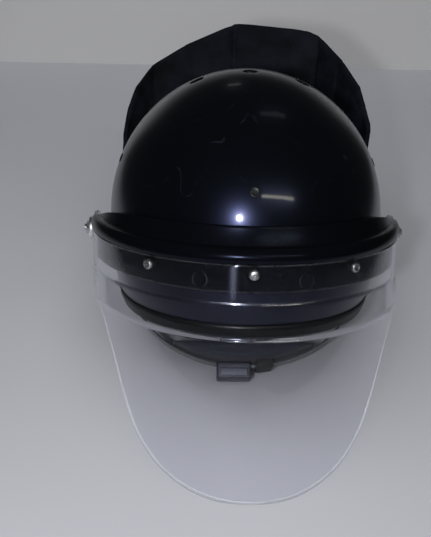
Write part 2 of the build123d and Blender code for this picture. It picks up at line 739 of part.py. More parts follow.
# Slider that keeps the strap's length, threaded on the right strap
with BuildPart() as strap_slider:
    add(strap_band(
        slider_place, slider_place + slider_length, -slider_wall - soft_gap,
        strap_thickness + 2 * (slider_wall + soft_gap), strap_width + 2 * (slider_wall + soft_gap),
    ))
    add(strap_band(
        slider_place - overrun, slider_place + slider_length + overrun, -soft_gap,
        strap_thickness + 2 * soft_gap, strap_width + 2 * soft_gap,
    ), mode=Mode.SUBTRACT)

# Neck guard: a gutter under the rear rim, and above it a fan of panels between folds
def guard_outline(shares, growth):
    """Closed strip of panels, out along the outer corners and back along the inner ones."""
    def corner(angle, share, thin):
        x, y, _ = ellipse_point(180 - angle, guard_root_half_width - thin, guard_root_half_length - thin)
        return x * growth * share, y * growth * share
    pairs = list(zip(guard_corner_angles, shares))
    outer = [corner(angle, share, 0) for angle, share in pairs]
    inner = [corner(angle, share, guard_thickness) for angle, share in pairs]
    return outer + inner[::-1]


with BuildPart() as guard_gutter:
    add(ring(
        [(leg_inner, -guard_bottom), (guard_root_half_length, -guard_bottom),
         (guard_root_half_length, -rim_drop), (root_inner, -rim_drop),
         (root_inner, -guard_bottom + guard_floor), (leg_outer, -guard_bottom + guard_floor),
         (leg_outer, -guard_leg_top), (leg_inner, -guard_leg_top)],
        shell_ratio,
    ))
    split(bisect_by=Plane.XZ.offset(-guard_front), keep=Keep.BOTTOM)
with BuildPart() as neck_guard:
    with BuildSketch(Plane.XY.offset(-rim_drop - guard_floor)):
        with BuildLine():
            Polyline(*guard_outline([1] * len(guard_fold_shares), 1), close=True)
        make_face()
    with BuildSketch(Plane.XY.offset(guard_height)):
        with BuildLine():
            Polyline(*guard_outline(guard_fold_shares, 1 + guard_lean_share), close=True)
        make_face()
    loft(ruled=True)
    with BuildSketch(Plane.XZ):
        with BuildLine():
            Polyline(*[(x * guard_half_width, z * guard_height) for x, z in guard_hem_shares], close=True)
        make_face()
    extrude(amount=-2 * wall_half_length, mode=Mode.INTERSECT)
    add(guard_gutter.part)
    split(bisect_by=table, keep=Keep.TOP)
    for azimuth in snap_angles:
        with Locations(snap_plane(azimuth)):
            Cylinder(snap_shank_radius + fit_gap, 3 * guard_leg_thickness, mode=Mode.SUBTRACT)

# Snaps: each holds the guard's inner leg to the shell above the edging, with a spacing collar between
wall_reach = shell_half_length * sqrt(1 - (snap_height / skirt_curve_height) ** 2)
with BuildPart() as guard_snaps:
    for azimuth in snap_angles:
        place = snap_plane(azimuth)
        wall = upright_plane(azimuth, snap_height, wall_reach * shell_ratio, wall_reach)
        wall_distance = (wall.origin - place.origin).dot(place.z_dir)
        with Locations(place.offset(wall_distance - snap_head_thickness)):
            Cylinder(snap_head_radius, 2 * snap_head_thickness, align=(Align.CENTER, Align.CENTER, Align.MIN))
    add(dome(-fit_gap, rim_drop), mode=Mode.SUBTRACT)
    for azimuth in snap_angles:
        place = snap_plane(azimuth)
        wall = upright_plane(azimuth, snap_height, wall_reach * shell_ratio, wall_reach)
        wall_distance = (wall.origin - place.origin).dot(place.z_dir)
        with Locations(place.offset(fit_gap)):
            Cylinder(
                snap_collar_radius, wall_distance - shell_wall - snap_collar_gap,
                align=(Align.CENTER, Align.CENTER, Align.MIN),
            )
        with Locations(place.offset(wall_distance + snap_head_thickness / 2)):
            Cylinder(
                snap_shank_radius, wall_distance + snap_head_thickness + guard_leg_thickness,
                align=(Align.CENTER, Align.CENTER, Align.MAX),
            )
        with Locations(place.offset(-guard_leg_thickness - soft_gap)):
            Cylinder(snap_cap_radius, snap_cap_thickness, align=(Align.CENTER, Align.CENTER, Align.MAX))

pieces = {
    "shell": shell, "rim_trim": rim_trim, "vent_inserts": vent_inserts, "shell_rivets": shell_rivets,
    "rivet_washers": rivet_washers, "foam_liner": foam_liner, "crown_pad": crown_pad, "brow_pad": brow_pad,
    "nape_pad": nape_pad, "temple_pads": temple_pads, "visor": visor, "visor_seal": visor_seal,
    "seal_strip": seal_strip, "strip_buttons": strip_buttons, "visor_screws": visor_screws,
    "visor_nuts": visor_nuts, "pivot_bolts": pivot_bolts, "pivot_bushes": pivot_bushes,
    "friction_washers": friction_washers, "pivot_plates": pivot_plates, "spring_washers": spring_washers,
    "pivot_nuts": pivot_nuts, "chin_strap_left": chin_strap_left, "chin_strap_right": chin_strap_right,
    "strap_anchors": strap_anchors, "strap_rivets": strap_rivets, "chin_cup": chin_cup,
    "buckle_body": buckle_body, "buckle_release": buckle_release, "buckle_tongue": buckle_tongue,
    "strap_slider": strap_slider, "neck_guard": neck_guard, "guard_snaps": guard_snaps,
}

# Tip the helmet back until both feet are level, then set it down with its box centred on the origin
tipped = Location((0, 0, 0), (-tilt, 0, 0))
boxes = [piece.part.moved(tipped).bounding_box() for piece in pieces.values()]
low_y, high_y = min(box.min.Y for box in boxes), max(box.max.Y for box in boxes)
low_z = min(box.min.Z for box in boxes)
standing = Location((0, -(low_y + high_y) / 2, -low_z)) * tipped

os.makedirs("parts", exist_ok=True)
for name, piece in pieces.items():
    placed = piece.part.moved(standing)
    placed.label = name
    export_step(placed, f"parts/{name}.step")

print("tilt", round(tilt, 3), "pivot at", [round(v, 3) for v in standing.position])
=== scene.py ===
import math

import bmesh
import bpy
import numpy as np
from mathutils import Matrix


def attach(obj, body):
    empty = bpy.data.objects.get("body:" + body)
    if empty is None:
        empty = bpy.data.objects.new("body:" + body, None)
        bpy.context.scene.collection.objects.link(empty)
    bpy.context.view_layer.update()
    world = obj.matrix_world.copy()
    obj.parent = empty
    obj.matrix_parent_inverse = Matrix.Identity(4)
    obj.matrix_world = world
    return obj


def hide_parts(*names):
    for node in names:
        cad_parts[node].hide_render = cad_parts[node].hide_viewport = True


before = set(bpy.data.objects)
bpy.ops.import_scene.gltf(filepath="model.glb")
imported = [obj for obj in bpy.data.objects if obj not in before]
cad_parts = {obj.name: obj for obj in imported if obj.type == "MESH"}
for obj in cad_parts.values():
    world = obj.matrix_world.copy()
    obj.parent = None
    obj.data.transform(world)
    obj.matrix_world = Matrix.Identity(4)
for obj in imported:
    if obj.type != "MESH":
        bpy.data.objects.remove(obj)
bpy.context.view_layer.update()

# Camera: a phone's, held 0.8 m from the helmet, a little above it and to the left of its face. Each piece in
# this file is worked out upright, in millimetres, with the face towards -Y and heights counted from the
# middle of the visor's flange. The helmet lies tipped back, so finished points are stood on the table.
tip = math.radians(18.922)
set_down = np.array([0.0, -3.287, 124.05])


def stand(points):
    """Turns upright points in millimetres back by the tip angle, sets them down, and gives metres."""
    p = np.asarray(points, float)
    y = p[..., 1] * math.cos(tip) + p[..., 2] * math.sin(tip)
    z = p[..., 2] * math.cos(tip) - p[..., 1] * math.sin(tip)
    return (np.stack([p[..., 0], y, z], axis=-1) + set_down) / 1000


def stand_way(way):
    """Turns an upright direction of length 1 back by the tip angle."""
    return stand(way * 1000) - stand(np.zeros(3))


def set_axes(made, ways, place):
    """Puts an object at a place, in metres, with three directions for its own x, y and z."""
    made.matrix_world = Matrix([[*(way[i] for way in ways), place[i]] for i in range(3)] + [[0, 0, 0, 1]])


sensor_mm, focal_points, picture_high = 36, 838, 537
eye = np.array([-39.5, -737.8, 128.7])
turn, down, lean = np.radians([1.14, 13.94, 1.19])
ahead = np.array([math.sin(turn) * math.cos(down), math.cos(turn) * math.cos(down), -math.sin(down)])
level = np.array([math.cos(turn), -math.sin(turn), 0.0])
above = np.cross(level, ahead)
side = math.cos(lean) * level + math.sin(lean) * above
over = -math.sin(lean) * level + math.cos(lean) * above
camera = bpy.data.objects.new("camera", bpy.data.cameras.new("camera"))
bpy.context.collection.objects.link(camera)
set_axes(camera, [stand_way(way) for way in (side, over, -ahead)], stand(eye))
camera.data.sensor_width = sensor_mm
camera.data.lens = sensor_mm * focal_points / picture_high
camera.data.clip_start = 0.01
bpy.context.scene.camera = camera
bpy.context.scene.view_settings.view_transform = "Standard"

# Table and wall: a plain pale grey bench top, 0.73 m deep behind the helmet, and a wall at its back, both
# in matt paint. They are stage and not part of the helmet, and thin out to nothing past the picture's
# frame, so that no hard edge of theirs shows in the polished shell. Their sizes are in metres.
bench_front, bench_back, front_half, back_half = -1.6, 0.727, 0.24, 0.64
wall_foot, wall_top = -0.05, 0.45
full_from_y, full_to_share, full_to_height = -0.7, 0.66, 0.13


def linear(hex_colour):
    """An sRGB hex colour as linear red, green and blue by the sRGB curve, with an alpha of 1."""
    c = np.array([int(hex_colour[i:i + 2], 16) for i in (1, 3, 5)]) / 255
    return (*np.where(c <= 0.04045, c / 12.92, ((c + 0.055) / 1.055)**2.4).tolist(), 1.0)


def each(millimetres):
    """A pattern's scale for one mark in so many millimetres: the marks that lie in a metre."""
    return 1000 / millimetres


def blank(name):
    """An empty material and its node tree."""
    material = bpy.data.materials.new(name)
    material.use_nodes = True
    material.node_tree.nodes.clear()
    return material, material.node_tree


def add(tree, kind, sockets=None, **settings):
    """Adds one node. Sockets are values, or outputs to link, by input name or number, and settings are the
    node's own."""
    made = tree.nodes.new("ShaderNode" + kind)
    for key, value in settings.items():
        setattr(made, key, value)
    for key, value in (sockets or {}).items():
        if isinstance(value, bpy.types.NodeSocket):
            tree.links.new(value, made.inputs[key])
        else:
            made.inputs[key].default_value = value
    return made


def plain_sheet(name, corners, colours):
    """One flat four-cornered sheet. Its opacity is 1 over two thirds of the bench's half width and falls to
    0 at its side, and falls in the same way up the wall and towards the bench's front."""
    mesh = bpy.data.meshes.new(name)
    mesh.from_pydata(corners, [], [(0, 1, 2, 3)])
    sheet = bpy.data.objects.new(name, mesh)
    bpy.context.collection.objects.link(sheet)
    # Matt paint: it hardly shines, and its tone drifts by a few levels over a third of a metre.
    paint, tree = blank(name + " paint")
    place = add(tree, "TexCoord")
    cloud = add(tree, "TexNoise", {"Vector": place.outputs["Object"], "Scale": each(333.3), "Detail": 2.0})
    tone = add(tree, "Mix", {0: cloud.outputs["Fac"], 6: linear(colours[0]), 7: linear(colours[1])},
               data_type="RGBA")
    matt = add(tree, "BsdfPrincipled", {"Base Color": tone.outputs[2], "Roughness": 0.55})
    spot = add(tree, "SeparateXYZ", {"Vector": place.outputs["Object"]})
    sideways = add(tree, "Math", {0: spot.outputs["X"]}, operation="ABSOLUTE")
    half = add(tree, "MapRange", {"Value": spot.outputs["Y"], "From Min": bench_front, "From Max": bench_back,
                                  "To Min": front_half, "To Max": back_half})
    share = add(tree, "Math", {0: sideways.outputs[0], 1: half.outputs["Result"]}, operation="DIVIDE")
    across = add(tree, "MapRange", {"Value": share.outputs[0], "From Min": full_to_share, "From Max": 1.0,
                                    "To Min": 1.0, "To Max": 0.0}, interpolation_type="SMOOTHSTEP")
    upward = add(tree, "MapRange", {"Value": spot.outputs["Z"], "From Min": full_to_height,
                                    "From Max": wall_top, "To Min": 1.0, "To Max": 0.0},
                 interpolation_type="SMOOTHSTEP")
    inward = add(tree, "MapRange", {"Value": spot.outputs["Y"], "From Min": bench_front,
                                    "From Max": full_from_y}, interpolation_type="SMOOTHSTEP")
    standing = add(tree, "Math", {0: across.outputs["Result"], 1: upward.outputs["Result"]},
                   operation="MULTIPLY")
    there = add(tree, "Math", {0: standing.outputs[0], 1: inward.outputs["Result"]}, operation="MULTIPLY")
    nothing = add(tree, "BsdfTransparent", {"Color": linear("#ffffff")})
    mixed = add(tree, "MixShader", {"Fac": there.outputs[0], 1: nothing.outputs[0], 2: matt.outputs[0]})
    add(tree, "OutputMaterial", {"Surface": mixed.outputs[0]})
    mesh.materials.append(paint)


plain_sheet("bench_top", [
    (-front_half, bench_front, 0), (front_half, bench_front, 0), (back_half, bench_back, 0),
    (-back_half, bench_back, 0),
], ("#adaeb5", "#b4b6bd"))
plain_sheet("wall", [
    (-back_half, bench_back, wall_foot), (back_half, bench_back, wall_foot),
    (back_half, bench_back, wall_top), (-back_half, bench_back, wall_top),
], ("#d3d3d6", "#dadadd"))


# Light: a wide soft lamp overhead, a soft one in front, two long tubes and a spot by the wall whose images
# lie on the shell, and a small lamp beside the camera. The room is pale behind the helmet, but dim where
# the shell mirrors it, or the polished black would turn grey. Places are in metres and powers in watts.
def lamp(name, place, towards, power, width, depth, roll=0.0, colour="#ffffff", in_gloss=True):
    """A rectangular lamp at a place, facing a point, and rolled about the line to it. A lamp that only
    fills is kept out of gloss and glass."""
    light = bpy.data.lights.new(name, "AREA")
    light.shape, light.size, light.size_y, light.energy = "RECTANGLE", width, depth, power
    light.color = linear(colour)[:3]
    made = bpy.data.objects.new(name, light)
    bpy.context.collection.objects.link(made)
    back = np.array(place, float) - np.array(towards, float)
    back /= np.linalg.norm(back)
    across = np.cross((0.0, 1.0, 0.001), back)
    across /= np.linalg.norm(across)
    up = np.cross(back, across)
    rolled = (math.cos(roll) * across + math.sin(roll) * up, math.cos(roll) * up - math.sin(roll) * across)
    set_axes(made, (*rolled, back), place)
    made.visible_glossy = in_gloss
    made.visible_transmission = in_gloss
    made.visible_camera = False


lamp("soft_overhead", (-0.3, -0.4, 2.2), (0, 0, 0.1), power=32, width=2.4, depth=2.4, in_gloss=False)
lamp("front_fill", (-0.05, -0.75, 0.62), (0, 0.05, 0.1), power=1.8, width=0.7, depth=0.5, in_gloss=False)
lamp("front_tube", (1.25, -1.98, 2.2), (0, -0.1, 0.15), power=8, width=1.6, depth=0.13, roll=0.38,
     colour="#fffbe6")
lamp("rear_tube", (0.40, 0.69, 1.50), (0.02, 0.04, 0.23), power=0.06, width=0.42, depth=0.12, roll=0.15)
lamp("wall_glare", (-0.07, 0.72, 0.62), (-0.01, 0.06, 0.23), power=0.006, width=0.08, depth=0.05)
lamp("beside_camera", (-0.119, -0.667, 0.474), (0, 0.0, 0.13), power=2.4, width=0.041, depth=0.041)
mirrored_strength, seen_strength = 0.02, 0.36
world = bpy.data.worlds.new("room")
world.use_nodes = True
room = world.node_tree
room.nodes.clear()
sight = add(room, "LightPath")
unmirrored = add(room, "Math", {0: sight.outputs["Glossy Depth"], 1: 0.5}, operation="LESS_THAN")
looked_through = add(room, "Math", {0: sight.outputs["Is Transmission Ray"], 1: unmirrored.outputs[0]},
                     operation="MULTIPLY")
seen = add(room, "Math", {0: sight.outputs["Is Camera Ray"], 1: looked_through.outputs[0]},
           operation="MAXIMUM")
glow = add(room, "MapRange", {"Value": seen.outputs[0], "To Min": mirrored_strength,
                              "To Max": seen_strength})
sky = add(room, "Background", {"Color": linear("#e8ecf6"), "Strength": glow.outputs["Result"]})
add(room, "OutputWorld", {"Surface": sky.outputs[0]})
bpy.context.scene.world = world

# Shell: a black ABS bowl with 4 mm walls, moulded in one piece and polished, now finely scratched. Outside
# it is half an ellipsoid above the flange's middle and a slower-closing skirt below it. Three vents are
# drilled through the crown.
half_width, half_length, crown, skirt_curve, rim = 118.0, 142.0, 123.0, 190.0, -75.0
shell_wall, vent_radius = 4.0, 6.2
vents = [(0.0, 120.5), (62.0, 112.3), (-62.0, 112.3)]


def bowl(azimuth, share, inset=0.0, low=rim):
    """Points on the shell at an inset from its outer surface. Share runs from 0 at the crown to 1 at the
    height low. Above zero height, reach is the ellipse of the crown, and below it that of the skirt."""
    top = crown - inset
    bend = math.pi / 2
    skirt = math.asin(-low / skirt_curve)
    angle = share * (bend + skirt)
    over_rim = np.clip(angle - bend, 0, None)
    z = np.where(angle < bend, top * np.cos(angle), -skirt_curve * np.sin(over_rim))
    reach = np.where(angle < bend, np.sin(angle), np.cos(over_rim))
    return np.stack(np.broadcast_arrays(
        (half_width - inset) * reach * np.sin(azimuth), -(half_length - inset) * reach * np.cos(azimuth), z
    ), axis=-1)


def bowl_normal(points):
    """Outward normals of the bowl: each coordinate over the square of its half axis, at length 1."""
    tall = np.where(points[..., 2:] > 0, crown, skirt_curve)
    half_axes = np.concatenate([np.full_like(tall, half_width), np.full_like(tall, half_length), tall],
                               axis=-1)
    n = points / half_axes**2
    return n / np.linalg.norm(n, axis=-1, keepdims=True)


def on_bowl(azimuth, height):
    """A point of the bowl at an angle in degrees from straight ahead and a height, and its normal. The
    level ring there has the bowl's half axes times the root of one minus (height / tall) squared."""
    ring = math.sqrt(1 - (height / (crown if height > 0 else skirt_curve))**2)
    a = math.radians(azimuth)
    reach = 1 / math.hypot(math.sin(a) / (half_width * ring), math.cos(a) / (half_length * ring))
    p = np.array([reach * math.sin(a), -reach * math.cos(a), height])
    return p, bowl_normal(p)


def skin(name, grid, wrap_first=False, wrap_second=False, cap_first=False):
    """A mesh object from a grid of upright points (first, second, xyz). Quads join neighbours, either way
    may close on itself, and the loops at the first way's two ends may be capped."""
    n, m = grid.shape[:2]
    i = np.arange(n if wrap_first else n - 1)[:, None]
    j = np.arange(m if wrap_second else m - 1)[None, :]
    ni, nj = (i + 1) % n, (j + 1) % m
    faces = np.stack([i * m + j, ni * m + j, ni * m + nj, i * m + nj], axis=-1).reshape(-1, 4).tolist()
    if cap_first:
        faces += [list(range(m)), list(range((n - 1) * m, n * m))]
    mesh = bpy.data.meshes.new(name)
    mesh.from_pydata(stand(grid.reshape(-1, 3)).tolist(), [], faces)
    shape = bmesh.new()
    shape.from_mesh(mesh)
    bmesh.ops.remove_doubles(shape, verts=shape.verts, dist=2e-6)
    bmesh.ops.dissolve_degenerate(shape, edges=shape.edges, dist=1e-6)
    bmesh.ops.recalc_face_normals(shape, faces=shape.faces)
    shape.to_mesh(mesh)
    shape.free()
    mesh.shade_smooth()
    made = bpy.data.objects.new(name, mesh)
    bpy.context.collection.objects.link(made)
    return made


def vertices(mesh):
    """A mesh's vertices as the rows of an array."""
    p = np.empty(len(mesh.vertices) * 3)
    mesh.vertices.foreach_get("co", p)
    return p.reshape(-1, 3)


def drill(mesh, centre, axis, radius):
    """Cuts a round hole through both skins of a mesh, in metres. Vertices inside the drill go, those left
    round the gap and near it move square to the axis to the radius, and a wall joins the two rings."""
    starts_outside, ends_inside, near = 0.004, 0.012, 0.009
    shape = bmesh.new()
    shape.from_mesh(mesh)
    shape.verts.ensure_lookup_table()
    gap = vertices(mesh) - centre
    along = gap @ axis
    off_axis = np.linalg.norm(gap - along[:, None] * axis, axis=1)
    inside = np.nonzero((off_axis < radius) & (along > -ends_inside) & (along < starts_outside))[0]
    bmesh.ops.delete(shape, geom=[shape.verts[i] for i in inside], context="VERTS")
    shape.verts.index_update()
    rings = sorted({v.index for edge in shape.edges if edge.is_boundary for v in edge.verts})
    shape.to_mesh(mesh)
    spots = vertices(mesh)
    gap = spots[rings] - centre
    along = (gap @ axis)[:, None]
    outwards = gap - along * axis
    off_axis = np.linalg.norm(outwards, axis=1, keepdims=True)
    on_hole = centre + along * axis + outwards / off_axis * radius
    spots[rings] = np.where(off_axis < near, on_hole, spots[rings])
    mesh.vertices.foreach_set("co", spots.ravel().astype(np.float32))
    shape.clear()
    shape.from_mesh(mesh)
    bmesh.ops.bridge_loops(shape, edges=[edge for edge in shape.edges if edge.is_boundary])
    bmesh.ops.recalc_face_normals(shape, faces=shape.faces)
    shape.to_mesh(mesh)
    shape.free()
    mesh.shade_smooth()


around = np.linspace(0, 2 * np.pi, 288, endpoint=False)[:, None]
down_outside = bowl(around, np.linspace(0, 1, 210)[None, :])
rim_out, rim_in = bowl(around, np.ones((1, 1))), bowl(around, np.ones((1, 1)), shell_wall)
edge_turn = np.linspace(0, np.pi, 9)[None, 1:-1]
rim_edge = (rim_out + rim_in) / 2 + (rim_out - rim_in) / 2 * np.cos(edge_turn)[..., None]
rim_edge = rim_edge - np.array([0, 0, 1.0]) * np.sin(edge_turn)[..., None]
up_inside = bowl(around, np.linspace(1, 0, 90)[None, :], shell_wall)
shell = skin("shell_bowl", np.concatenate([down_outside, rim_edge, up_inside], axis=1), wrap_first=True)
for azimuth, height in vents:
    middle, normal = on_bowl(azimuth, height)
    drill(shell.data, stand(middle), stand_way(normal), vent_radius / 1000)

# Polished black ABS: a deep gloss under a thin hard skin, with a blue haze round each lamp's image. The
# haze drifts over rubbed patches some 40 mm apart. Hairline scratches wander over it and break off every
# 13 mm or so; at 0.3 mm wide they are drawn coarser than real ones, so that they show.
abs_gloss, tree = blank("polished black ABS")
place = add(tree, "TexCoord")
long_way = add(tree, "Mapping", {"Vector": place.outputs["Object"], "Rotation": (0.4, 0.2, 0.6),
                                 "Scale": (each(16.67), each(1.11), each(1.11))})
hairs = add(tree, "TexNoise", {"Vector": long_way.outputs[0], "Scale": 1.0, "Detail": 2.0})
thin = add(tree, "MapRange", {"Value": hairs.outputs["Fac"], "From Min": 0.66, "From Max": 0.74})
dent = add(tree, "Bump", {"Height": thin.outputs["Result"], "Strength": 0.03, "Distance": 0.0003})
rubbed = add(tree, "TexNoise", {"Vector": place.outputs["Object"], "Scale": each(40), "Detail": 4.0})
haze = add(tree, "MapRange", {"Value": rubbed.outputs["Fac"], "From Min": 0.35, "From Max": 0.75,
                              "To Min": 0.05, "To Max": 0.13})
wandering = add(tree, "TexNoise", {"Vector": place.outputs["Object"], "Scale": each(45.45), "Detail": 1.0,
                                   "Roughness": 0.4})
off_line = add(tree, "Math", {0: wandering.outputs["Fac"], 1: 0.5}, operation="SUBTRACT")
gap = add(tree, "Math", {0: off_line.outputs[0]}, operation="ABSOLUTE")
line = add(tree, "MapRange", {"Value": gap.outputs[0], "From Min": 0.0, "From Max": 0.0045, "To Min": 1.0,
                              "To Max": 0.0})
broken = add(tree, "TexNoise", {"Vector": place.outputs["Object"], "Scale": each(13.33), "Detail": 3.0})
where = add(tree, "MapRange", {"Value": broken.outputs["Fac"], "From Min": 0.51, "From Max": 0.63})
scratch = add(tree, "Math", {0: line.outputs["Result"], 1: where.outputs["Result"]}, operation="MULTIPLY")
tint = add(tree, "ValToRGB", {"Fac": scratch.outputs[0]})
tint.color_ramp.elements[0].color, tint.color_ramp.elements[1].color = linear("#050608"), linear("#15191f")
gloss = add(tree, "BsdfPrincipled", {
    "Base Color": tint.outputs["Color"], "Roughness": 0.28, "IOR": 1.53, "Specular IOR Level": 0.38,
    "Specular Tint": linear("#aab6ff"),
    "Coat Weight": 0.35, "Coat IOR": 1.5, "Coat Roughness": haze.outputs["Result"],
    "Normal": dent.outputs["Normal"], "Coat Normal": dent.outputs["Normal"],
})
add(tree, "OutputMaterial", {"Surface": gloss.outputs[0]})
shell.data.materials.append(abs_gloss)
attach(shell, "helmet")
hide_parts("shell")


# Vent inserts: three short tubes of moulded black nylon, each with one crossbar. They are pressed into the
# vents from inside, until the lip round their inner end meets the shell.
def square_to(normal):
    """Two directions square to a normal and to each other: its cross product with up, and theirs."""
    first = np.cross((0.0, 0.0, 1.0) if abs(normal[2]) < 0.9 else (0.0, 1.0, 0.0), normal)
    first /= np.linalg.norm(first)
    return first, np.cross(normal, first)


def turned(name, origin, normal, profile, steps=48):
    """A piece turned on a lathe: (radius, height) points carried round a normal at an origin."""
    first, second = square_to(normal)
    a = np.linspace(0, 2 * np.pi, steps, endpoint=False)[:, None, None]
    line = np.array(profile, float)[None, :, :]
    grid = origin + (np.cos(a) * first + np.sin(a) * second) * line[..., :1] + normal * line[..., 1:]
    return skin(name, grid, wrap_first=True)


def slab(name, centre, axes, sizes, round_off=0.8, steps=4):
    """A block with rounded edges: the sum of a smaller block and a ball, swept as rings from end to end."""
    a, b, c = (np.array(v, float) for v in axes)
    half = np.array(sizes, float) / 2
    r = min(round_off, *(half * 0.98))
    corner = np.linspace(0, np.pi / 2, steps + 1)
    turn = np.concatenate([corner + k * np.pi / 2 for k in range(4)])
    signs = np.repeat(np.array([[1, 1], [-1, 1], [-1, -1], [1, -1]]), steps + 1, axis=0)
    tilt = np.concatenate([np.linspace(-np.pi / 2, 0, steps + 1), np.linspace(0, np.pi / 2, steps + 1)])
    ends = np.repeat([-1, 1], steps + 1)
    x = signs[None, :, 0] * (half[0] - r) + r * np.cos(tilt)[:, None] * np.cos(turn)[None, :]
    y = signs[None, :, 1] * (half[1] - r) + r * np.cos(tilt)[:, None] * np.sin(turn)[None, :]
    z = (ends * (half[2] - r) + r * np.sin(tilt))[:, None] + np.zeros_like(x)
    grid = np.array(centre, float) + x[..., None] * a + y[..., None] * b + z[..., None] * c
    return skin(name, grid, wrap_second=True, cap_first=True)


def joined(name, pieces):
    """One object from several, with their meshes' vertices and faces put together."""
    shape = bmesh.new()
    for piece in pieces:
        shape.from_mesh(piece.data)
    mesh = bpy.data.meshes.new(name)
    shape.to_mesh(mesh)
    shape.free()
    for piece in pieces:
        bpy.data.objects.remove(piece)
    mesh.shade_smooth()
    made = bpy.data.objects.new(name, mesh)
    bpy.context.collection.objects.link(made)
    return made


parts = []
for azimuth, height in vents:
    middle, normal = on_bowl(azimuth, height)
    parts.append(turned("vent_tube", middle, normal, [
        (6.1, -1.5), (5.8, -1.2), (5.1, -1.2), (4.8, -1.5), (4.8, -5.5), (8.2, -5.5), (8.2, -4.3),
        (6.1, -4.3), (6.1, -1.5),
    ]))
    parts.append(slab("vent_bar", middle - normal * 2.9, (*square_to(normal), normal), (9.9, 1.4, 1.5), 0.4))
vent_inserts = joined("vent_tubes", parts)

# Moulded black nylon: a dull satin black, with the fine spark grain of the mould, 0.7 mm apart.
nylon, tree = blank("moulded black nylon")
place = add(tree, "TexCoord")
grain = add(tree, "TexNoise", {"Vector": place.outputs["Object"], "Scale": each(0.67), "Detail": 2.0})
rough = add(tree, "Bump", {"Height": grain.outputs["Fac"], "Strength": 0.15, "Distance": 0.0003})
satin = add(tree, "BsdfPrincipled", {"Base Color": linear("#131315"), "Roughness": 0.45,
                                     "Normal": rough.outputs["Normal"]})
add(tree, "OutputMaterial", {"Surface": satin.outputs[0]})
vent_inserts.data.materials.append(nylon)
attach(vent_inserts, "helmet")
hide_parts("vent_inserts")

# Edging: a channel of matt black EPDM rubber, moulded with a round foot and two legs that grip the rim's
# two sides. It is pushed on to the shell's rim all round.
shell_ratio = half_width / half_length


def carried(name, profile, ratio, start=-180.0, end=180.0, steps=240):
    """A closed (reach, height) outline carried round an oval: x is ratio times reach times the sine of the
    angle from straight ahead, y is minus reach times its cosine."""
    full = end - start >= 360
    a = np.radians(np.linspace(start, end, steps, endpoint=not full))[:, None]
    line = np.array(profile, float)[None, :, :]
    grid = np.stack([ratio * line[..., 0] * np.sin(a), -line[..., 0] * np.cos(a),
                     line[..., 1] + np.zeros_like(a)], axis=-1)
    return skin(name, grid, wrap_first=full, wrap_second=True, cap_first=not full)


foot = np.linspace(0, -np.pi, 17)
edging = carried("edging", [
    *np.stack([128.5 + 2.3 * np.cos(foot), -76.4 + 2.1 * np.sin(foot)], axis=-1).tolist(),
    (125.9, -70.0), (126.9, -66.3), (127.6, -66.1), (127.9, -70.0), (126.9, -75.15), (130.6, -75.15),
    (131.7, -70.0), (132.4, -66.3), (133.3, -66.0), (134.4, -66.4), (133.6, -71.0),
], shell_ratio)

# Moulded EPDM rubber: a dull black with a faint sheen that comes and goes over 33 mm, where hands have
# rubbed it, and a grain of 1 mm.
rubber, tree = blank("moulded black EPDM rubber")
place = add(tree, "TexCoord")
fine = add(tree, "TexNoise", {"Vector": place.outputs["Object"], "Scale": each(1.11), "Detail": 3.0})
rough = add(tree, "Bump", {"Height": fine.outputs["Fac"], "Strength": 0.08, "Distance": 0.0004})
worn = add(tree, "TexNoise", {"Vector": place.outputs["Object"], "Scale": each(33.33), "Detail": 3.0})
sheen = add(tree, "MapRange", {"Value": worn.outputs["Fac"], "From Min": 0.3, "From Max": 0.7,
                               "To Min": 0.3, "To Max": 0.45})
satin = add(tree, "BsdfPrincipled", {"Base Color": linear("#08090b"), "Roughness": sheen.outputs["Result"],
                                     "Specular IOR Level": 0.22, "Normal": rough.outputs["Normal"]})
add(tree, "OutputMaterial", {"Surface": satin.outputs[0]})
edging.data.materials.append(rubber)
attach(edging, "helmet")
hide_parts("rim_trim")

# Foam liner: a bowl of moulded black foam, 13.5 mm thick, with a smooth skin and a rounded edge. It is laid
# into the shell, and the five rivets through the shell hold it.
liner_inset, liner_thick, liner_low = 4.8, 13.5, -44.5
round_about = np.linspace(0, 2 * np.pi, 128, endpoint=False)[:, None]
out_sheet = bowl(round_about, np.linspace(0, 1, 60)[None, :], liner_inset, liner_low)
in_sheet = bowl(round_about, np.linspace(1, 0, 60)[None, :], liner_inset + liner_thick, liner_low)
edge_turn = np.linspace(0, np.pi, 13)[None, 1:-1]
first, last = out_sheet[:, -1:], in_sheet[:, :1]
foam_edge = (first + last) / 2 + (first - last) / 2 * np.cos(edge_turn)[..., None]
foam_edge = foam_edge - np.array([0, 0, 2.2]) * np.sin(edge_turn)[..., None]
liner = skin("foam_bowl", np.concatenate([out_sheet, foam_edge, in_sheet], axis=1), wrap_first=True)

# Moulded foam skin: matt black, with the outlines of 3 mm foam beads pressed into it.
foam_skin, tree = blank("moulded foam skin")
place = add(tree, "TexCoord")
beads = add(tree, "TexVoronoi", {"Vector": place.outputs["Object"], "Scale": each(3)})
cells = add(tree, "Bump", {"Height": beads.outputs["Distance"], "Strength": 0.25, "Distance": 0.0005})
tone = add(tree, "ValToRGB", {"Fac": beads.outputs["Distance"]})
tone.color_ramp.elements[0].color, tone.color_ramp.elements[1].color = linear("#232427"), linear("#17181a")
foam = add(tree, "BsdfPrincipled", {"Base Color": tone.outputs["Color"], "Roughness": 0.7,
                                    "Normal": cells.outputs["Normal"]})
add(tree, "OutputMaterial", {"Surface": foam.outputs[0]})
liner.data.materials.append(foam_skin)
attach(liner, "helmet")
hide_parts("foam_liner")

# Comfort pads: open-cell foam under brushed black cloth, each a pillow that lies flat on the liner and
# bulges towards the head, with a sewn seam round its edge. They are stuck to the liner at the brow, the
# nape, both temples and the crown.
pad_inset, pad_thick, crown_half = 19.2, 8.4, 44.0


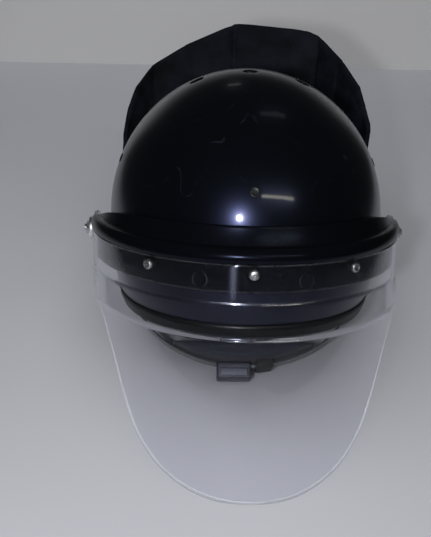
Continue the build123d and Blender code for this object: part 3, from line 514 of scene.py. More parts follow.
def pillow(name, azimuths, heights):
    """A pad over a patch of the bowl. Across it, its fullness is one minus the sixth power of the place
    towards each edge, to the power 0.4; it is nearly all on the inner side."""
    p, q = np.linspace(-1, 1, 61)[:, None], np.linspace(-1, 1, 31)[None, :]
    full = ((1 - p**6) * (1 - q**6)).clip(0)**0.4
    tuck = 1 - 0.02 * (1 - full)
    a = np.radians((azimuths[0] + azimuths[1]) / 2 + (azimuths[1] - azimuths[0]) / 2 * p * tuck)
    z = (heights[0] + heights[1]) / 2 + (heights[1] - heights[0]) / 2 * q * tuck

    def layer(depth):
        """The bowl's form at a depth from its outside, at the pad's own angles and heights."""
        ring = np.sqrt(1 - (z / np.where(z > 0, crown - depth, skirt_curve))**2)
        return np.stack([(half_width - depth) * ring * np.sin(a), -(half_length - depth) * ring * np.cos(a),
                         z], axis=-1)
    outer_face = layer(pad_inset + pad_thick * 0.35 * (1 - full))
    inner_face = layer(pad_inset + pad_thick * 0.35 + pad_thick * 0.65 * full)
    return skin(name, np.concatenate([outer_face, inner_face[:, ::-1]], axis=1), wrap_second=True,
                cap_first=True)


# Brushed pad cloth: a soft dark navy grey whose nap, 1.2 mm apart, breaks up every highlight.
brushed, tree = blank("brushed pad cloth")
place = add(tree, "TexCoord")
nap = add(tree, "TexNoise", {"Vector": place.outputs["Object"], "Scale": each(1.2), "Detail": 4.0})
tone = add(tree, "ValToRGB", {"Fac": nap.outputs["Fac"]})
tone.color_ramp.elements[0].position, tone.color_ramp.elements[0].color = 0.3, linear("#14161d")
tone.color_ramp.elements[1].position, tone.color_ramp.elements[1].color = 0.75, linear("#2e3240")
fuzz = add(tree, "Bump", {"Height": nap.outputs["Fac"], "Strength": 0.4, "Distance": 0.0006})
soft = add(tree, "BsdfPrincipled", {"Base Color": tone.outputs["Color"], "Roughness": 0.9,
                                    "Sheen Weight": 0.06, "Sheen Roughness": 0.4,
                                    "Normal": fuzz.outputs["Normal"]})
add(tree, "OutputMaterial", {"Surface": soft.outputs[0]})
for name, node, spans in [
    ("brow_pillow", "brow_pad", [((-49, 49), (-63, -21))]),
    ("nape_pillow", "nape_pad", [((139, 221), (-53, -13))]),
    ("temple_pillows", "temple_pads", [((69, 107), (-45, -6)), ((-107, -69), (-45, -6))]),
]:
    cushion = joined(name, [pillow("patch", azimuths, heights) for azimuths, heights in spans])
    cushion.data.materials.append(brushed)
    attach(cushion, "helmet")
    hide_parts(node)
spin = np.linspace(0, 2 * np.pi, 96, endpoint=False)[:, None]
span = np.linspace(0, 1, 24)[None, :]
full = (1 - span**6)**0.4
disc_x, disc_y = crown_half * span * np.cos(spin), crown_half * span * np.sin(spin)


def under_crown(depth):
    """Height of the bowl's inner form over a level disc, at a depth from its outside."""
    off = (disc_x / (half_width - depth))**2 + (disc_y / (half_length - depth))**2
    return (crown - depth) * np.sqrt(1 - off)


top_face = np.stack([disc_x, disc_y, under_crown(pad_inset + 3.0 * (1 - full))], axis=-1)
low_face = np.stack([disc_x, disc_y, under_crown(pad_inset + 3.0 + 5.4 * full)], axis=-1)
crown_pillow = skin("crown_pillow", np.concatenate([top_face, low_face[:, ::-1]], axis=1), wrap_first=True)
crown_pillow.data.materials.append(brushed)
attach(crown_pillow, "helmet")
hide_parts("crown_pad")

# Rivets: five small steel rivets with dished heads, painted black and worn to grey. They go through shell
# and liner, hold the liner, and are closed inside over a zinc-plated washer.
parts = []
for azimuth, height in [(0.0, 36.8), (78.0, 47.0), (-78.0, 47.0), (148.0, 30.0), (-148.0, 30.0)]:
    middle, normal = on_bowl(azimuth, height)
    parts.append(turned("rivet", middle, normal, [
        (0, 0.3), (1.6, 0.25), (2.3, 0.35), (2.8, 0.56), (3.1, 0.6), (3.5, 0.5), (3.85, 0.3), (4.0, 0.05),
        (4.0, -0.2), (1.9, -0.2), (1.9, -5.2), (3.2, -5.3), (3.2, -6.2), (0, -6.4),
    ]))
rivets = joined("liner_rivets", parts)

# Black-painted steel: a dull black paint with grey chips some 2 mm apart, and a soft highlight.
worn_black, tree = blank("black-painted steel")
place = add(tree, "TexCoord")
chips = add(tree, "TexNoise", {"Vector": place.outputs["Object"], "Scale": each(2.38), "Detail": 5.0})
tone = add(tree, "ValToRGB", {"Fac": chips.outputs["Fac"]})
tone.color_ramp.elements[0].position, tone.color_ramp.elements[0].color = 0.5, linear("#0b0c0e")
tone.color_ramp.elements[1].position, tone.color_ramp.elements[1].color = 0.66, linear("#1f2227")
paint = add(tree, "BsdfPrincipled", {"Base Color": tone.outputs["Color"], "Roughness": 0.38,
                                     "Specular IOR Level": 0.3})
add(tree, "OutputMaterial", {"Surface": paint.outputs[0]})

# Bright zinc-plated steel: a pale metal, cloudy where the plating is spotted every 1.4 mm, so that its
# highlights are soft.
zinc, tree = blank("bright zinc-plated steel")
place = add(tree, "TexCoord")
spots = add(tree, "TexNoise", {"Vector": place.outputs["Object"], "Scale": each(1.43), "Detail": 4.0})
tone = add(tree, "ValToRGB", {"Fac": spots.outputs["Fac"]})
tone.color_ramp.elements[0].position, tone.color_ramp.elements[0].color = 0.35, linear("#8f9296")
tone.color_ramp.elements[1].position, tone.color_ramp.elements[1].color = 0.65, linear("#c9cbce")
dull = add(tree, "MapRange", {"Value": spots.outputs["Fac"], "To Min": 0.32, "To Max": 0.5})
metal = add(tree, "BsdfPrincipled", {"Base Color": tone.outputs["Color"], "Metallic": 1.0,
                                     "Roughness": dull.outputs["Result"]})
add(tree, "OutputMaterial", {"Surface": metal.outputs[0]})
rivets.data.materials.append(worn_black)
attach(rivets, "helmet")
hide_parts("shell_rivets")
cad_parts["rivet_washers"].material_slots[0].material = zinc

# Visor: one sheet of 3 mm clear polycarbonate, heated and drawn over a mould to an upright flange, a step
# forward to a shoulder, and a tall wall that closes a little downwards. It is sawn to its outline, with an
# ear for the pivot at each end, and its edges are rounded off.
flange_wide, flange_long, visor_wall = 133.6, 157.0, 3.0
pivot_y, pivot_z, ear, rear_edge = 5.0, -19.0, 15.0, 20.0
flange_top, lowest = -13.3, -192.0
upper_bend, lower_bend = -43.0, -63.0
columns, rows = 273, 150


def through(points, steps=24):
    """A smooth line through points: Catmull-Rom pieces, each a cubic between two neighbours."""
    p = np.array(points, float)
    p = np.concatenate([[2 * p[0] - p[1]], p, [2 * p[-1] - p[-2]]])
    t = np.linspace(0, 1, steps, endpoint=False)[None, :, None]
    a, b, c, d = (p[k:len(p) - 3 + k][:, None, :] for k in range(4))
    line = 0.5 * (2 * b + (c - a) * t + (2 * a - 5 * b + 4 * c - d) * t**2 + (3 * b - a - 3 * c + d) * t**3)
    return np.concatenate([line.reshape(-1, p.shape[1]), p[-2:-1]])


def visor_axes(z):
    """The half width and half length of the visor's outside at a height. The bends are rounded over
    3 mm, as the mean of the straight pieces over that span."""
    spread = np.linspace(-1.5, 1.5, 13)
    heights = np.array([-220.0, -213.0, lower_bend, upper_bend, 40.0])
    wide = np.array([129.7, 130.0, 135.5, flange_wide, flange_wide])
    long = np.array([175.9, 176.0, 178.0, flange_long, flange_long])
    at = np.asarray(z)[..., None] + spread
    return np.interp(at, heights, wide).mean(-1), np.interp(at, heights, long).mean(-1)


under = through([
    (20.0, -19.0), (15.7, -29.9), (5.0, -35.9), (-17.8, -44.8), (-59.6, -57.9), (-86.0, -69.1),
    (-99.0, -84.9), (-108.0, -100.4), (-118.9, -125.1), (-131.0, -150.0), (-147.0, -170.0),
    (-157.0, -178.9), (-165.0, -185.1), (-173.0, -190.3), (-177.6, -191.9),
])[::-1]
sweep_end = math.acos(-rear_edge / flange_long)
evenly = np.linspace(-1, 1, columns)
sweep = sweep_end * (np.sin(evenly * np.pi / 2) + evenly) / 2


def cut_height(inset):
    """The height at each sweep angle where the wall, at an inset from its outside, meets the under line,
    found by halving the span between two heights 40 times."""
    low, high = np.full(columns, lowest), np.full(columns, pivot_z)
    for _ in range(40):
        half = (low + high) / 2
        y_here = -(visor_axes(half)[1] - inset) * np.cos(sweep)
        above_cut = half > np.interp(y_here, under[:, 0], under[:, 1])
        high, low = np.where(above_cut, half, high), np.where(above_cut, low, half)
    return high


def crowded(z):
    """A measure of height that grows six times faster within 3 mm of each bend, to crowd the rows there."""
    return z + 15 * np.tanh((z - upper_bend) / 3) + 15 * np.tanh((z - lower_bend) / 3)


def rows_down(bottom):
    """Heights at each sweep angle, from the top edge down to the bottom, crowded at the bends."""
    ladder = np.linspace(-200, 0, 4001)
    start, end = crowded(top)[:, None], crowded(bottom)[:, None]
    return np.interp(start + (end - start) * np.linspace(0, 1, rows)[None, :], crowded(ladder), ladder)


def wall_point(z, inset):
    """A point of the visor's wall at each sweep angle, a height and an inset from its outside."""
    wide, long = visor_axes(z)
    return np.stack([(wide - inset) * np.sin(sweep)[:, None], -(long - inset) * np.cos(sweep)[:, None], z],
                    axis=-1)


def upright(mesh):
    """A finished mesh's vertices as upright points in millimetres: stand, run backwards."""
    p = vertices(mesh) * 1000 - set_down
    y = p[:, 1] * math.cos(tip) - p[:, 2] * math.sin(tip)
    z = p[:, 1] * math.sin(tip) + p[:, 2] * math.cos(tip)
    return np.stack([p[:, 0], y, z], axis=-1)


flange_y = -flange_long * np.cos(sweep)
ear_top = np.sqrt(np.clip(ear**2 - (flange_y - pivot_y)**2, 0, None)) + pivot_z
top = np.where(flange_y > pivot_y - ear, ear_top, flange_top)
rounding = np.linspace(0, np.pi, 9)[None, 1:-1]
through_wall = (1 - np.cos(rounding)) / 2
outer_cut, inner_cut = cut_height(0.0), cut_height(visor_wall)
outside = wall_point(rows_down(outer_cut), 0.0)
inside_wall = wall_point(rows_down(inner_cut), visor_wall)[:, ::-1]
low_edge = wall_point(outer_cut[:, None] + (inner_cut - outer_cut)[:, None] * through_wall
                      - 0.1 * np.sin(rounding), visor_wall * through_wall)
top_edge = wall_point(top[:, None] + 0.4 * np.sin(rounding), visor_wall * (1 - through_wall))
visor = skin("visor_pane", np.concatenate([outside, low_edge, inside_wall, top_edge], axis=1),
             wrap_second=True, cap_first=True)

# Two marks on the mesh for the material: 1 along the sawn edge, and a bell curve of the height at each bend.
corners = upright(visor.data)
on_cut = corners[:, 2] < np.interp(corners[:, 1], under[:, 0], under[:, 1]) + 0.15
near_bend = (np.exp(-((corners[:, 2] - upper_bend) / 1.2)**2)
             + 0.12 * np.exp(-((corners[:, 2] - lower_bend) / 1.5)**2))
for name, values in [("cut_edge", on_cut), ("bend", near_bend)]:
    stored = visor.data.attributes.new(name, "FLOAT", "POINT")
    stored.data.foreach_set("value", values.astype(np.float32))

# Clear polycarbonate: what lies behind shows through it with hardly a tint, and it mirrors more the flatter
# it is looked at. Scuffs 4 mm apart and wiping marks 2.5 mm apart, both drawn coarser than real ones, lay a
# thin veil over it. Round wiping draws a lamp's image out to an upright streak on the flange's outside, the
# bends are burnished and catch the light, and the sawn edge is half frosted and shows as a white line.
# Shadow and diffuse rays pass straight through, so that the lamps light what lies behind.
clear, tree = blank("clear polycarbonate")
place = add(tree, "TexCoord")
scuffs = add(tree, "TexNoise", {"Vector": place.outputs["Object"], "Scale": each(3.85), "Detail": 5.0})
level_way = add(tree, "Mapping", {"Vector": place.outputs["Object"],
                                  "Scale": (each(40), each(40), each(2.5))})
marks = add(tree, "TexNoise", {"Vector": level_way.outputs[0], "Scale": 1.0, "Detail": 3.0})
both = add(tree, "Math", {0: scuffs.outputs["Fac"], 1: marks.outputs["Fac"]}, operation="MULTIPLY")
hazy = add(tree, "MapRange", {"Value": both.outputs[0], "From Min": 0.15, "From Max": 0.45, "To Min": 0.0,
                              "To Max": 0.0035})
pane = add(tree, "BsdfGlass", {"Color": linear("#f9f9fb"), "Roughness": 0.0, "IOR": 1.58})
around_z = add(tree, "Tangent", direction_type="RADIAL", axis="Z")
wiped = add(tree, "BsdfAnisotropic", {"Color": linear("#cfdaff"), "Roughness": 0.2, "Anisotropy": 0.8,
                                      "Tangent": around_z.outputs[0]})
spot = add(tree, "SeparateXYZ", {"Vector": place.outputs["Object"]})
on_flange = add(tree, "MapRange", {"Value": spot.outputs["Z"], "From Min": 0.133, "From Max": 0.145,
                                   "To Min": 0.0002, "To Max": 0.012})
wall_side = add(tree, "NewGeometry")
air_side = add(tree, "Math", {0: 1.0, 1: wall_side.outputs["Backfacing"]}, operation="SUBTRACT")
from_air = add(tree, "Math", {0: on_flange.outputs["Result"], 1: air_side.outputs[0]}, operation="MULTIPLY")
streaked = add(tree, "MixShader", {"Fac": from_air.outputs[0], 1: pane.outputs[0], 2: wiped.outputs[0]})
scuffed = add(tree, "BsdfPrincipled", {"Base Color": linear("#c9cbd2"), "Roughness": 0.4, "IOR": 1.58})
veiled = add(tree, "MixShader", {"Fac": hazy.outputs["Result"], 1: streaked.outputs[0],
                                 2: scuffed.outputs[0]})
cut_edge = add(tree, "Attribute", attribute_name="cut_edge")
half_frosted = add(tree, "Math", {0: cut_edge.outputs["Fac"], 1: 0.7}, operation="MULTIPLY")
sawn = add(tree, "BsdfPrincipled", {"Base Color": linear("#b6bac1"), "Roughness": 0.4, "IOR": 1.58})
edged = add(tree, "MixShader", {"Fac": half_frosted.outputs[0], 1: veiled.outputs[0], 2: sawn.outputs[0]})
bend = add(tree, "Attribute", attribute_name="bend")
on_bend = add(tree, "Math", {0: bend.outputs["Fac"], 1: 0.15}, operation="MULTIPLY")
burnished = add(tree, "BsdfAnisotropic", {"Color": linear("#dfe6ff"), "Roughness": 0.17})
bent = add(tree, "MixShader", {"Fac": on_bend.outputs[0], 1: edged.outputs[0], 2: burnished.outputs[0]})
ray = add(tree, "LightPath")
passing = add(tree, "Math", {0: ray.outputs["Is Shadow Ray"], 1: ray.outputs["Is Diffuse Ray"]},
              operation="MAXIMUM")
let_light = add(tree, "BsdfTransparent", {"Color": linear("#fbfbfd")})
mixed = add(tree, "MixShader", {"Fac": passing.outputs[0], 1: bent.outputs[0], 2: let_light.outputs[0]})
add(tree, "OutputMaterial", {"Surface": mixed.outputs[0]})
visor.data.materials.append(clear)
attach(visor, "visor")
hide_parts("visor")

# Seal: one black EPDM moulding along the visor's flange, from just ahead of one pivot to the other. Its lip
# flares out to a groove and a round bead over the flange's edge, and its tail lies behind the flange, where
# the screws go through it. Its inside keeps clear of the shell as the visor swings.
seal_ratio = 130.6 / 154.0
swing_wide, swing_round, tail_reach, ends_ahead = 123.0, 152.8, 136.0, 20.0
lip_line = through([(-145.9, 13.5), (-98.3, 11.6), (-63.4, 7.0), (-39.7, 1.9), (-19.0, -3.4)])


def arc(start, middle, end, steps):
    """Points along the circle through three points, from the first to the last."""
    (ax, ay), (bx, by), (cx, cy) = start, middle, end
    d = 2 * (ax * (by - cy) + bx * (cy - ay) + cx * (ay - by))
    ux = ((ax**2 + ay**2) * (by - cy) + (bx**2 + by**2) * (cy - ay) + (cx**2 + cy**2) * (ay - by)) / d
    uy = ((ax**2 + ay**2) * (cx - bx) + (bx**2 + by**2) * (ax - cx) + (cx**2 + cy**2) * (bx - ax)) / d
    radius = math.hypot(ax - ux, ay - uy)
    t0, t1, t2 = (math.atan2(y - uy, x - ux) for x, y in (start, middle, end))
    t1, t2 = (t0 + (t - t0 + np.pi) % (2 * np.pi) - np.pi for t in (t1, t2))
    if (t1 - t0) * (t2 - t0) < 0:
        t2 += 2 * np.pi * np.sign(t1 - t0)
    t = np.linspace(t0, t2, steps)
    return np.stack([ux + radius * np.cos(t), uy + radius * np.sin(t)], axis=-1)


def swing_room(a, z):
    """The seal's inner reach: where a ray at an angle and height leaves the ball, flattened sideways,
    that the shell needs as the visor swings about its pivots."""
    sx, sy = seal_ratio * np.sin(a) / swing_wide, -np.cos(a) / swing_round
    oy, oz = -pivot_y / swing_round, (z - pivot_z) / swing_round
    qa, qb, qc = sx**2 + sy**2, 2 * sy * oy, oy**2 + oz**2 - 1
    return (-qb + np.sqrt(qb**2 - 4 * qa * qc)) / (2 * qa)


section = np.concatenate([
    [(145.04, 13.5)],
    arc((145.34, 13.5), (147.4, 6.25), (150.3, -1.0), 16)[1:-1],
    arc((150.3, -1.0), (158.6, -7.0), (156.9, -13.0), 20),
    [(153.8, -13.0), (153.8, -32.6), (153.4, -33.0), (153.0, -33.0), (152.6, -32.6), (152.6, -13.0),
     (150.0, -13.0)],
])
seal_end = math.degrees(math.acos(ends_ahead / 155.0))
angle = np.radians(np.linspace(-seal_end, seal_end, 241))[:, None]
inner_z = np.linspace(-13.0, 13.5, 14)[None, :] + np.zeros_like(angle)
inner_reach = np.maximum(swing_room(angle, inner_z), tail_reach)
reach = np.concatenate([section[None, :, 0] + np.zeros_like(angle), inner_reach], axis=1)
height = np.concatenate([section[None, :, 1] + np.zeros_like(angle), inner_z], axis=1)
height = np.minimum(height, np.interp(-reach * np.cos(angle), lip_line[:, 0], lip_line[:, 1]))
seal = skin("seal_moulding", np.stack([
    seal_ratio * reach * np.sin(angle), -reach * np.cos(angle), height,
], axis=-1), wrap_second=True, cap_first=True)

# Glossy EPDM moulding: a deep black with a smooth moulded skin, which gives a long soft highlight along the
# bead. The gloss comes and goes over 29 mm.
smooth_rubber, tree = blank("glossy black EPDM moulding")
place = add(tree, "TexCoord")
worn = add(tree, "TexNoise", {"Vector": place.outputs["Object"], "Scale": each(28.57), "Detail": 4.0})
sheen = add(tree, "MapRange", {"Value": worn.outputs["Fac"], "From Min": 0.3, "From Max": 0.7,
                               "To Min": 0.2, "To Max": 0.3})
gloss = add(tree, "BsdfPrincipled", {"Base Color": linear("#06070a"), "Roughness": sheen.outputs["Result"],
                                     "Specular IOR Level": 0.14, "Specular Tint": linear("#b8c6ff")})
add(tree, "OutputMaterial", {"Surface": gloss.outputs[0]})
seal.data.materials.append(smooth_rubber)
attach(seal, "visor")
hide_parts("visor_seal")

# Retaining strip: a thin band of black ABS, cut from sheet and bent, which backs the seal's tail. Two flat
# round ABS buttons are pressed through the tail, to key it between strip and flange.
strip_end = seal_end - 0.2
strip = carried("retaining_band", [
    (152.4, -14.8), (152.4, -34.1), (152.0, -34.5), (151.0, -34.5), (150.6, -34.1), (150.6, -14.8),
    (151.0, -14.5), (152.0, -14.5),
], seal_ratio, -strip_end, strip_end, 161)

# Satin black ABS: a flat black with a soft sheen, a little uneven with dust every 8 mm.
band_abs, tree = blank("satin black ABS")
place = add(tree, "TexCoord")
dust = add(tree, "TexNoise", {"Vector": place.outputs["Object"], "Scale": each(8.33), "Detail": 5.0})
sheen = add(tree, "MapRange", {"Value": dust.outputs["Fac"], "From Min": 0.3, "From Max": 0.7,
                               "To Min": 0.22, "To Max": 0.34})
satin = add(tree, "BsdfPrincipled", {"Base Color": linear("#0c0e14"), "Roughness": sheen.outputs["Result"]})
add(tree, "OutputMaterial", {"Surface": satin.outputs[0]})
strip.data.materials.append(band_abs)
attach(strip, "visor")
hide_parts("seal_strip")


def on_flange_wall(azimuth, height):
    """A point of the flange's outside at an angle in degrees from straight ahead, and its level normal."""
    a = math.radians(azimuth)
    reach = 1 / math.hypot(math.sin(a) / flange_wide, math.cos(a) / flange_long)
    p = np.array([reach * math.sin(a), -reach * math.cos(a), height])
    n = np.array([p[0] / flange_wide**2, p[1] / flange_long**2, 0.0])
    return p, n / np.linalg.norm(n)


parts = []
for azimuth in (14.9, -14.9):
    middle, normal = on_flange_wall(azimuth, -26.0)
    parts.append(turned("button", middle, normal, [
        (0, -3.45), (5.0, -3.45), (5.25, -3.3), (5.6, -3.2), (5.9, -3.3), (6.0, -3.7), (6.0, -4.4),
        (0, -4.4),
    ]))
buttons = joined("keying_buttons", parts)

# Dark grey ABS: a shade lighter than the strip, so that only the buttons' round edges show.
edge_abs, tree = blank("dark grey ABS")
place = add(tree, "TexCoord")
dust = add(tree, "TexNoise", {"Vector": place.outputs["Object"], "Scale": each(5), "Detail": 3.0})
sheen = add(tree, "MapRange", {"Value": dust.outputs["Fac"], "To Min": 0.25, "To Max": 0.45})
satin = add(tree, "BsdfPrincipled", {"Base Color": linear("#1b1e27"), "Roughness": sheen.outputs["Result"]})
add(tree, "OutputMaterial", {"Surface": satin.outputs[0]})
buttons.data.materials.append(edge_abs)
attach(buttons, "visor")
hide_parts("strip_buttons")

# Screws: three zinc-plated steel screws through flange, tail and strip, with nuts inside. The middle one
# has a domed head, and the two at the sides are tubular, with a recess in their heads.
parts = []
for azimuth in (0.0, 31.3, -31.3):
    middle, normal = on_flange_wall(azimuth, -20.0)
    crest = np.linspace(0.0, 1.35, 9)
    domed = azimuth == 0
    lip = 0.4 if domed else 2.4
    parts.append(turned("screw", middle, normal, [
        *([(0, 0.5), (0.2, 0.5)] if domed else [(1.7, -9.0), (1.7, 0.3)]), (lip, 2.0),
        *np.stack([lip + (4.0 - lip) * np.sin(crest), 0.35 + 1.9 * np.cos(crest)], axis=-1).tolist(),
        (4.0, 0.05), (2.0, 0.0), (2.0, -9.0), (0, -9.1) if domed else (1.7, -9.0),
    ]))
screws = joined("flange_screws", parts)
screws.data.materials.append(zinc)
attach(screws, "visor")
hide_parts("visor_screws")
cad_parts["visor_nuts"].material_slots[0].material = zinc

# Pivots: on each side a zinc-plated bolt comes out through the shell and carries, from inside outwards, a
# black nylon bush that the visor's ear turns on, a friction washer of natural nylon, a cupped cover plate,
# a spring washer and a nut.
for name in ("pivot_bolts", "spring_washers", "pivot_nuts"):
    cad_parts[name].material_slots[0].material = zinc
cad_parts["pivot_bushes"].material_slots[0].material = nylon
parts = []
for hand in (-1, 1):
    parts.append(turned("plate", np.array([0.0, pivot_y, pivot_z]), np.array([hand, 0.0, 0.0]), [
        (3.1, 134.8), (9.2, 134.8), (9.5, 135.1), (9.5, 138.3), (9.3, 138.5), (8.1, 138.5), (7.9, 138.3),
        (7.7, 136.6), (7.5, 136.5), (3.1, 136.5), (3.1, 134.8),
    ]))
pivot_plates = joined("pivot_covers", parts)

# Dull zinc-plated steel: nearly white metal under an even frost, with hardly any image in it. The frost
# varies every 2 mm.
dull_zinc, tree = blank("dull zinc-plated steel")
place = add(tree, "TexCoord")
spots = add(tree, "TexNoise", {"Vector": place.outputs["Object"], "Scale": each(2), "Detail": 4.0})
dull = add(tree, "MapRange", {"Value": spots.outputs["Fac"], "To Min": 0.4, "To Max": 0.52})
metal = add(tree, "BsdfPrincipled", {"Base Color": linear("#f1f5f8"), "Metallic": 1.0,
                                     "Roughness": dull.outputs["Result"]})
add(tree, "OutputMaterial", {"Surface": metal.outputs[0]})
pivot_plates.data.materials.append(dull_zinc)
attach(pivot_plates, "helmet")
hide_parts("pivot_plates")

# Natural nylon: waxy and off-white, with a sheen that changes every 3 mm.
pale_nylon, tree = blank("natural nylon")
place = add(tree, "TexCoord")
cloud = add(tree, "TexNoise", {"Vector": place.outputs["Object"], "Scale": each(3.33), "Detail": 3.0})
dull = add(tree, "MapRange", {"Value": cloud.outputs["Fac"], "To Min": 0.35, "To Max": 0.5})
wax = add(tree, "BsdfPrincipled", {"Base Color": linear("#d8d6cc"), "Roughness": dull.outputs["Result"]})
add(tree, "OutputMaterial", {"Surface": wax.outputs[0]})
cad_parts["friction_washers"].material_slots[0].material = pale_nylon

# Neck guard: black coated nylon cloth, quilted double and stiffened, folded up like a fan behind the shell.
# Flat panels meet at soft folds and the hem is bound. The root is a stiff gutter under the shell's rear
# rim, held by five black snaps.
corner_angles = np.array([-104, -88, -70, -51, -33, -17, -2, 13, 27, 37, 54, 72, 89, 104.0])
corner_reach = np.array([1.0, 1.0, 1.01, 0.99, 1.03, 0.985, 1.03, 0.985, 1.03, 1.0, 0.99, 1.01, 1.0, 1.0])
fold_depths = np.array([0.2, 0.2, 0.2, 0.7, 0.2, 0.2, 1.0, 0.2, 1.0, 0.4, 0.3, 0.5, 0.2, 0.2])
root_long, root_floor, guard_top, opened = 139.5, -78.0, 178.0, 1.36
places_across, places_up, panels = 365, 108, 13
hem = np.array([
    (-0.92, -0.56), (-0.95, 0.0), (-0.965, 0.30), (-0.94, 0.44), (-0.885, 0.56), (-0.765, 0.68),
    (-0.48, 0.80), (-0.07, 0.925), (0.01, 0.93), (0.57, 0.895), (0.69, 0.86), (0.85, 0.73),
    (0.965, 0.59), (1.0, 0.49), (1.03, 0.385), (1.0, 0.20), (0.92, -0.56),
]) * (120.0, guard_top)


def panel_point(u, s):
    """Outside of the guard at corner number u, counted from the wearer's right, and share s of its height:
    straight panels between corners, opened 36% wider at the top, with the folds rounded over a tenth."""
    at = np.clip(u[..., None] + np.linspace(-0.1, 0.1, 9), 0, panels)
    a = np.radians(corner_angles)
    oval = 1 / np.hypot(np.sin(a) / (root_long * shell_ratio), np.cos(a) / root_long)

    def round_the_oval(reach):
        """Places across and back for a reach at each corner, as the mean over nine corner numbers."""
        corners = np.arange(panels + 1)
        return (np.interp(at, corners, reach * np.sin(a)).mean(-1),
                np.interp(at, corners, reach * np.cos(a)).mean(-1))
    (x0, y0), (x1, y1) = round_the_oval(oval), round_the_oval(oval * corner_reach * opened)
    return np.stack([x0 + (x1 - x0) * s, y0 + (y1 - y0) * s, root_floor + (guard_top - root_floor) * s],
                    axis=-1)


# The hem as seen from behind is an outline of angle and reach round the middle of the root's floor, evened
# out over 19 places. Each place across the fan is cut at that outline, by halving its height 30 times.
share = np.linspace(0, 1, 40)[:, None, None]
hem_line = (hem[:-1] * (1 - share) + hem[1:] * share).transpose(1, 0, 2).reshape(-1, 2)
hem_angle = np.arctan2(hem_line[:, 0], hem_line[:, 1] - root_floor)
hem_reach = np.hypot(hem_line[:, 0], hem_line[:, 1] - root_floor)
hem_reach = np.convolve(np.pad(hem_reach, 9, mode="edge"), np.full(19, 1 / 19), mode="valid")
even = np.linspace(0, panels, places_across)
u = even - 0.75 * np.sin(2 * np.pi * even) / (2 * np.pi)
low, high = np.zeros(places_across), np.ones(places_across)
for _ in range(30):
    half = (low + high) / 2
    p = panel_point(u, half)
    reach = np.hypot(p[:, 0], p[:, 2] - root_floor)
    out = reach > np.interp(np.arctan2(p[:, 0], p[:, 2] - root_floor), hem_angle, hem_reach)
    high, low = np.where(out, half, high), np.where(out, low, half)
kept = np.nonzero(low > 0.02)[0]
u, hem_share = u[kept[0]:kept[-1] + 1], low[kept[0]:kept[-1] + 1]

# The two cloths lie 3.5 mm apart, square to that form. Each panel puffs out and wanders a little, the front
# cloth is drawn to the back one at the folds, and the binding thickens the last 10 mm under the hem.
rise = np.linspace(0, 1, places_up)[None, :]
s = hem_share[:, None] * rise
base = panel_point(u[:, None] + np.zeros_like(s), s)
across, upward = np.gradient(base, axis=0), np.gradient(base, axis=1)
out_way = np.cross(across, upward)
out_way /= np.linalg.norm(out_way, axis=-1, keepdims=True) + 1e-9
out_way *= np.sign((out_way * base * (1, 1, 0)).sum(-1, keepdims=True))
to_fold = np.abs((u[:, None] % 1.0) - 0.5) * 2
drop = (1 - rise) * hem_share[:, None] * 270
bound = np.clip((10 - drop) / 2.5, 0, 1)
fold = (fold_depths[np.rint(u).astype(int)][:, None] * np.exp(-((1 - to_fold) / 0.14)**2)
        * np.clip(drop / 8, 0, 1))
puff = 1.6 * (1 - to_fold**2) * np.sin(np.pi * rise).clip(0)**0.5
wander = (
    0.9 * np.sin(base[..., 0] / 17 + base[..., 2] / 23) * np.sin(base[..., 2] / 15 - base[..., 0] / 31)
    + 0.5 * np.sin(base[..., 0] / 7.3 - base[..., 2] / 11.7 + 1.3) * np.sin(base[..., 2] / 8.9 + 0.4)
) * np.sin(np.pi * rise * 0.97)**0.5
inner_half = -3.5 - 0.5 * bound + 0.35 * wander
outer_half = 0.35 * bound + np.minimum(puff * 0.3 + wander * 0.4, 1.2)
front = base + out_way * (inner_half - puff * 0.25 + 1.3 * fold)[..., None]
back = base + out_way * outer_half[..., None]
edge_turn = np.linspace(0, np.pi, 7)[None, 1:-1]
lift = upward[:, -1:] / np.linalg.norm(upward[:, -1:], axis=-1, keepdims=True)
hem_edge = ((front[:, -1:] + back[:, -1:]) / 2
            + (back[:, -1:] - front[:, -1:]) / 2 * np.cos(edge_turn)[..., None]
            + lift * 1.2 * np.sin(edge_turn)[..., None])
fan = skin("guard_cloth", np.concatenate([back, hem_edge, front[:, ::-1]], axis=1), wrap_second=True,
           cap_first=True)
root = carried("guard_root", [
    (139.5, -83.2), (139.5, -76.0), (138.9, -75.3), (136.9, -75.3), (136.2, -76.0), (136.0, -81.0),
    (122.6, -81.0), (122.1, -80.3), (122.1, -55.6), (121.5, -55.0), (119.7, -55.0), (119.1, -55.6),
    (119.1, -83.2), (119.8, -83.9), (138.8, -83.9),
], shell_ratio, 109.0, 251.0, 161)
on_table = vertices(root.data)
on_table[:, 2] = np.maximum(on_table[:, 2], 0.0002)
root.data.vertices.foreach_set("co", on_table.ravel().astype(np.float32))
guard = joined("guard_fan", [fan, root])

# Coated nylon cloth: a matt blue-black, with faint pale creases some 25 mm apart where it has been folded.
# Its threads are about 0.6 mm apart, and are drawn 3.55 mm apart so that they show as a weave. A wave
# pattern of scale 1 has 20 / (2 pi) bands in a metre.
cloth, tree = blank("coated nylon cloth")
bands_per_scale = 20 / (2 * math.pi)
place = add(tree, "TexCoord")
warp, weft = (
    add(tree, "TexWave", {"Vector": place.outputs["Object"], "Scale": each(3.553) / bands_per_scale},
        bands_direction=way)
    for way in "XZ"
)
weave = add(tree, "Math", {0: warp.outputs["Fac"], 1: weft.outputs["Fac"]}, operation="MULTIPLY")
crease = add(tree, "TexNoise", {"Vector": place.outputs["Object"], "Scale": each(25), "Detail": 6.0,
                                "Roughness": 0.6})
tone = add(tree, "ValToRGB", {"Fac": crease.outputs["Fac"]})
tone.color_ramp.elements[0].position, tone.color_ramp.elements[0].color = 0.35, linear("#08090d")
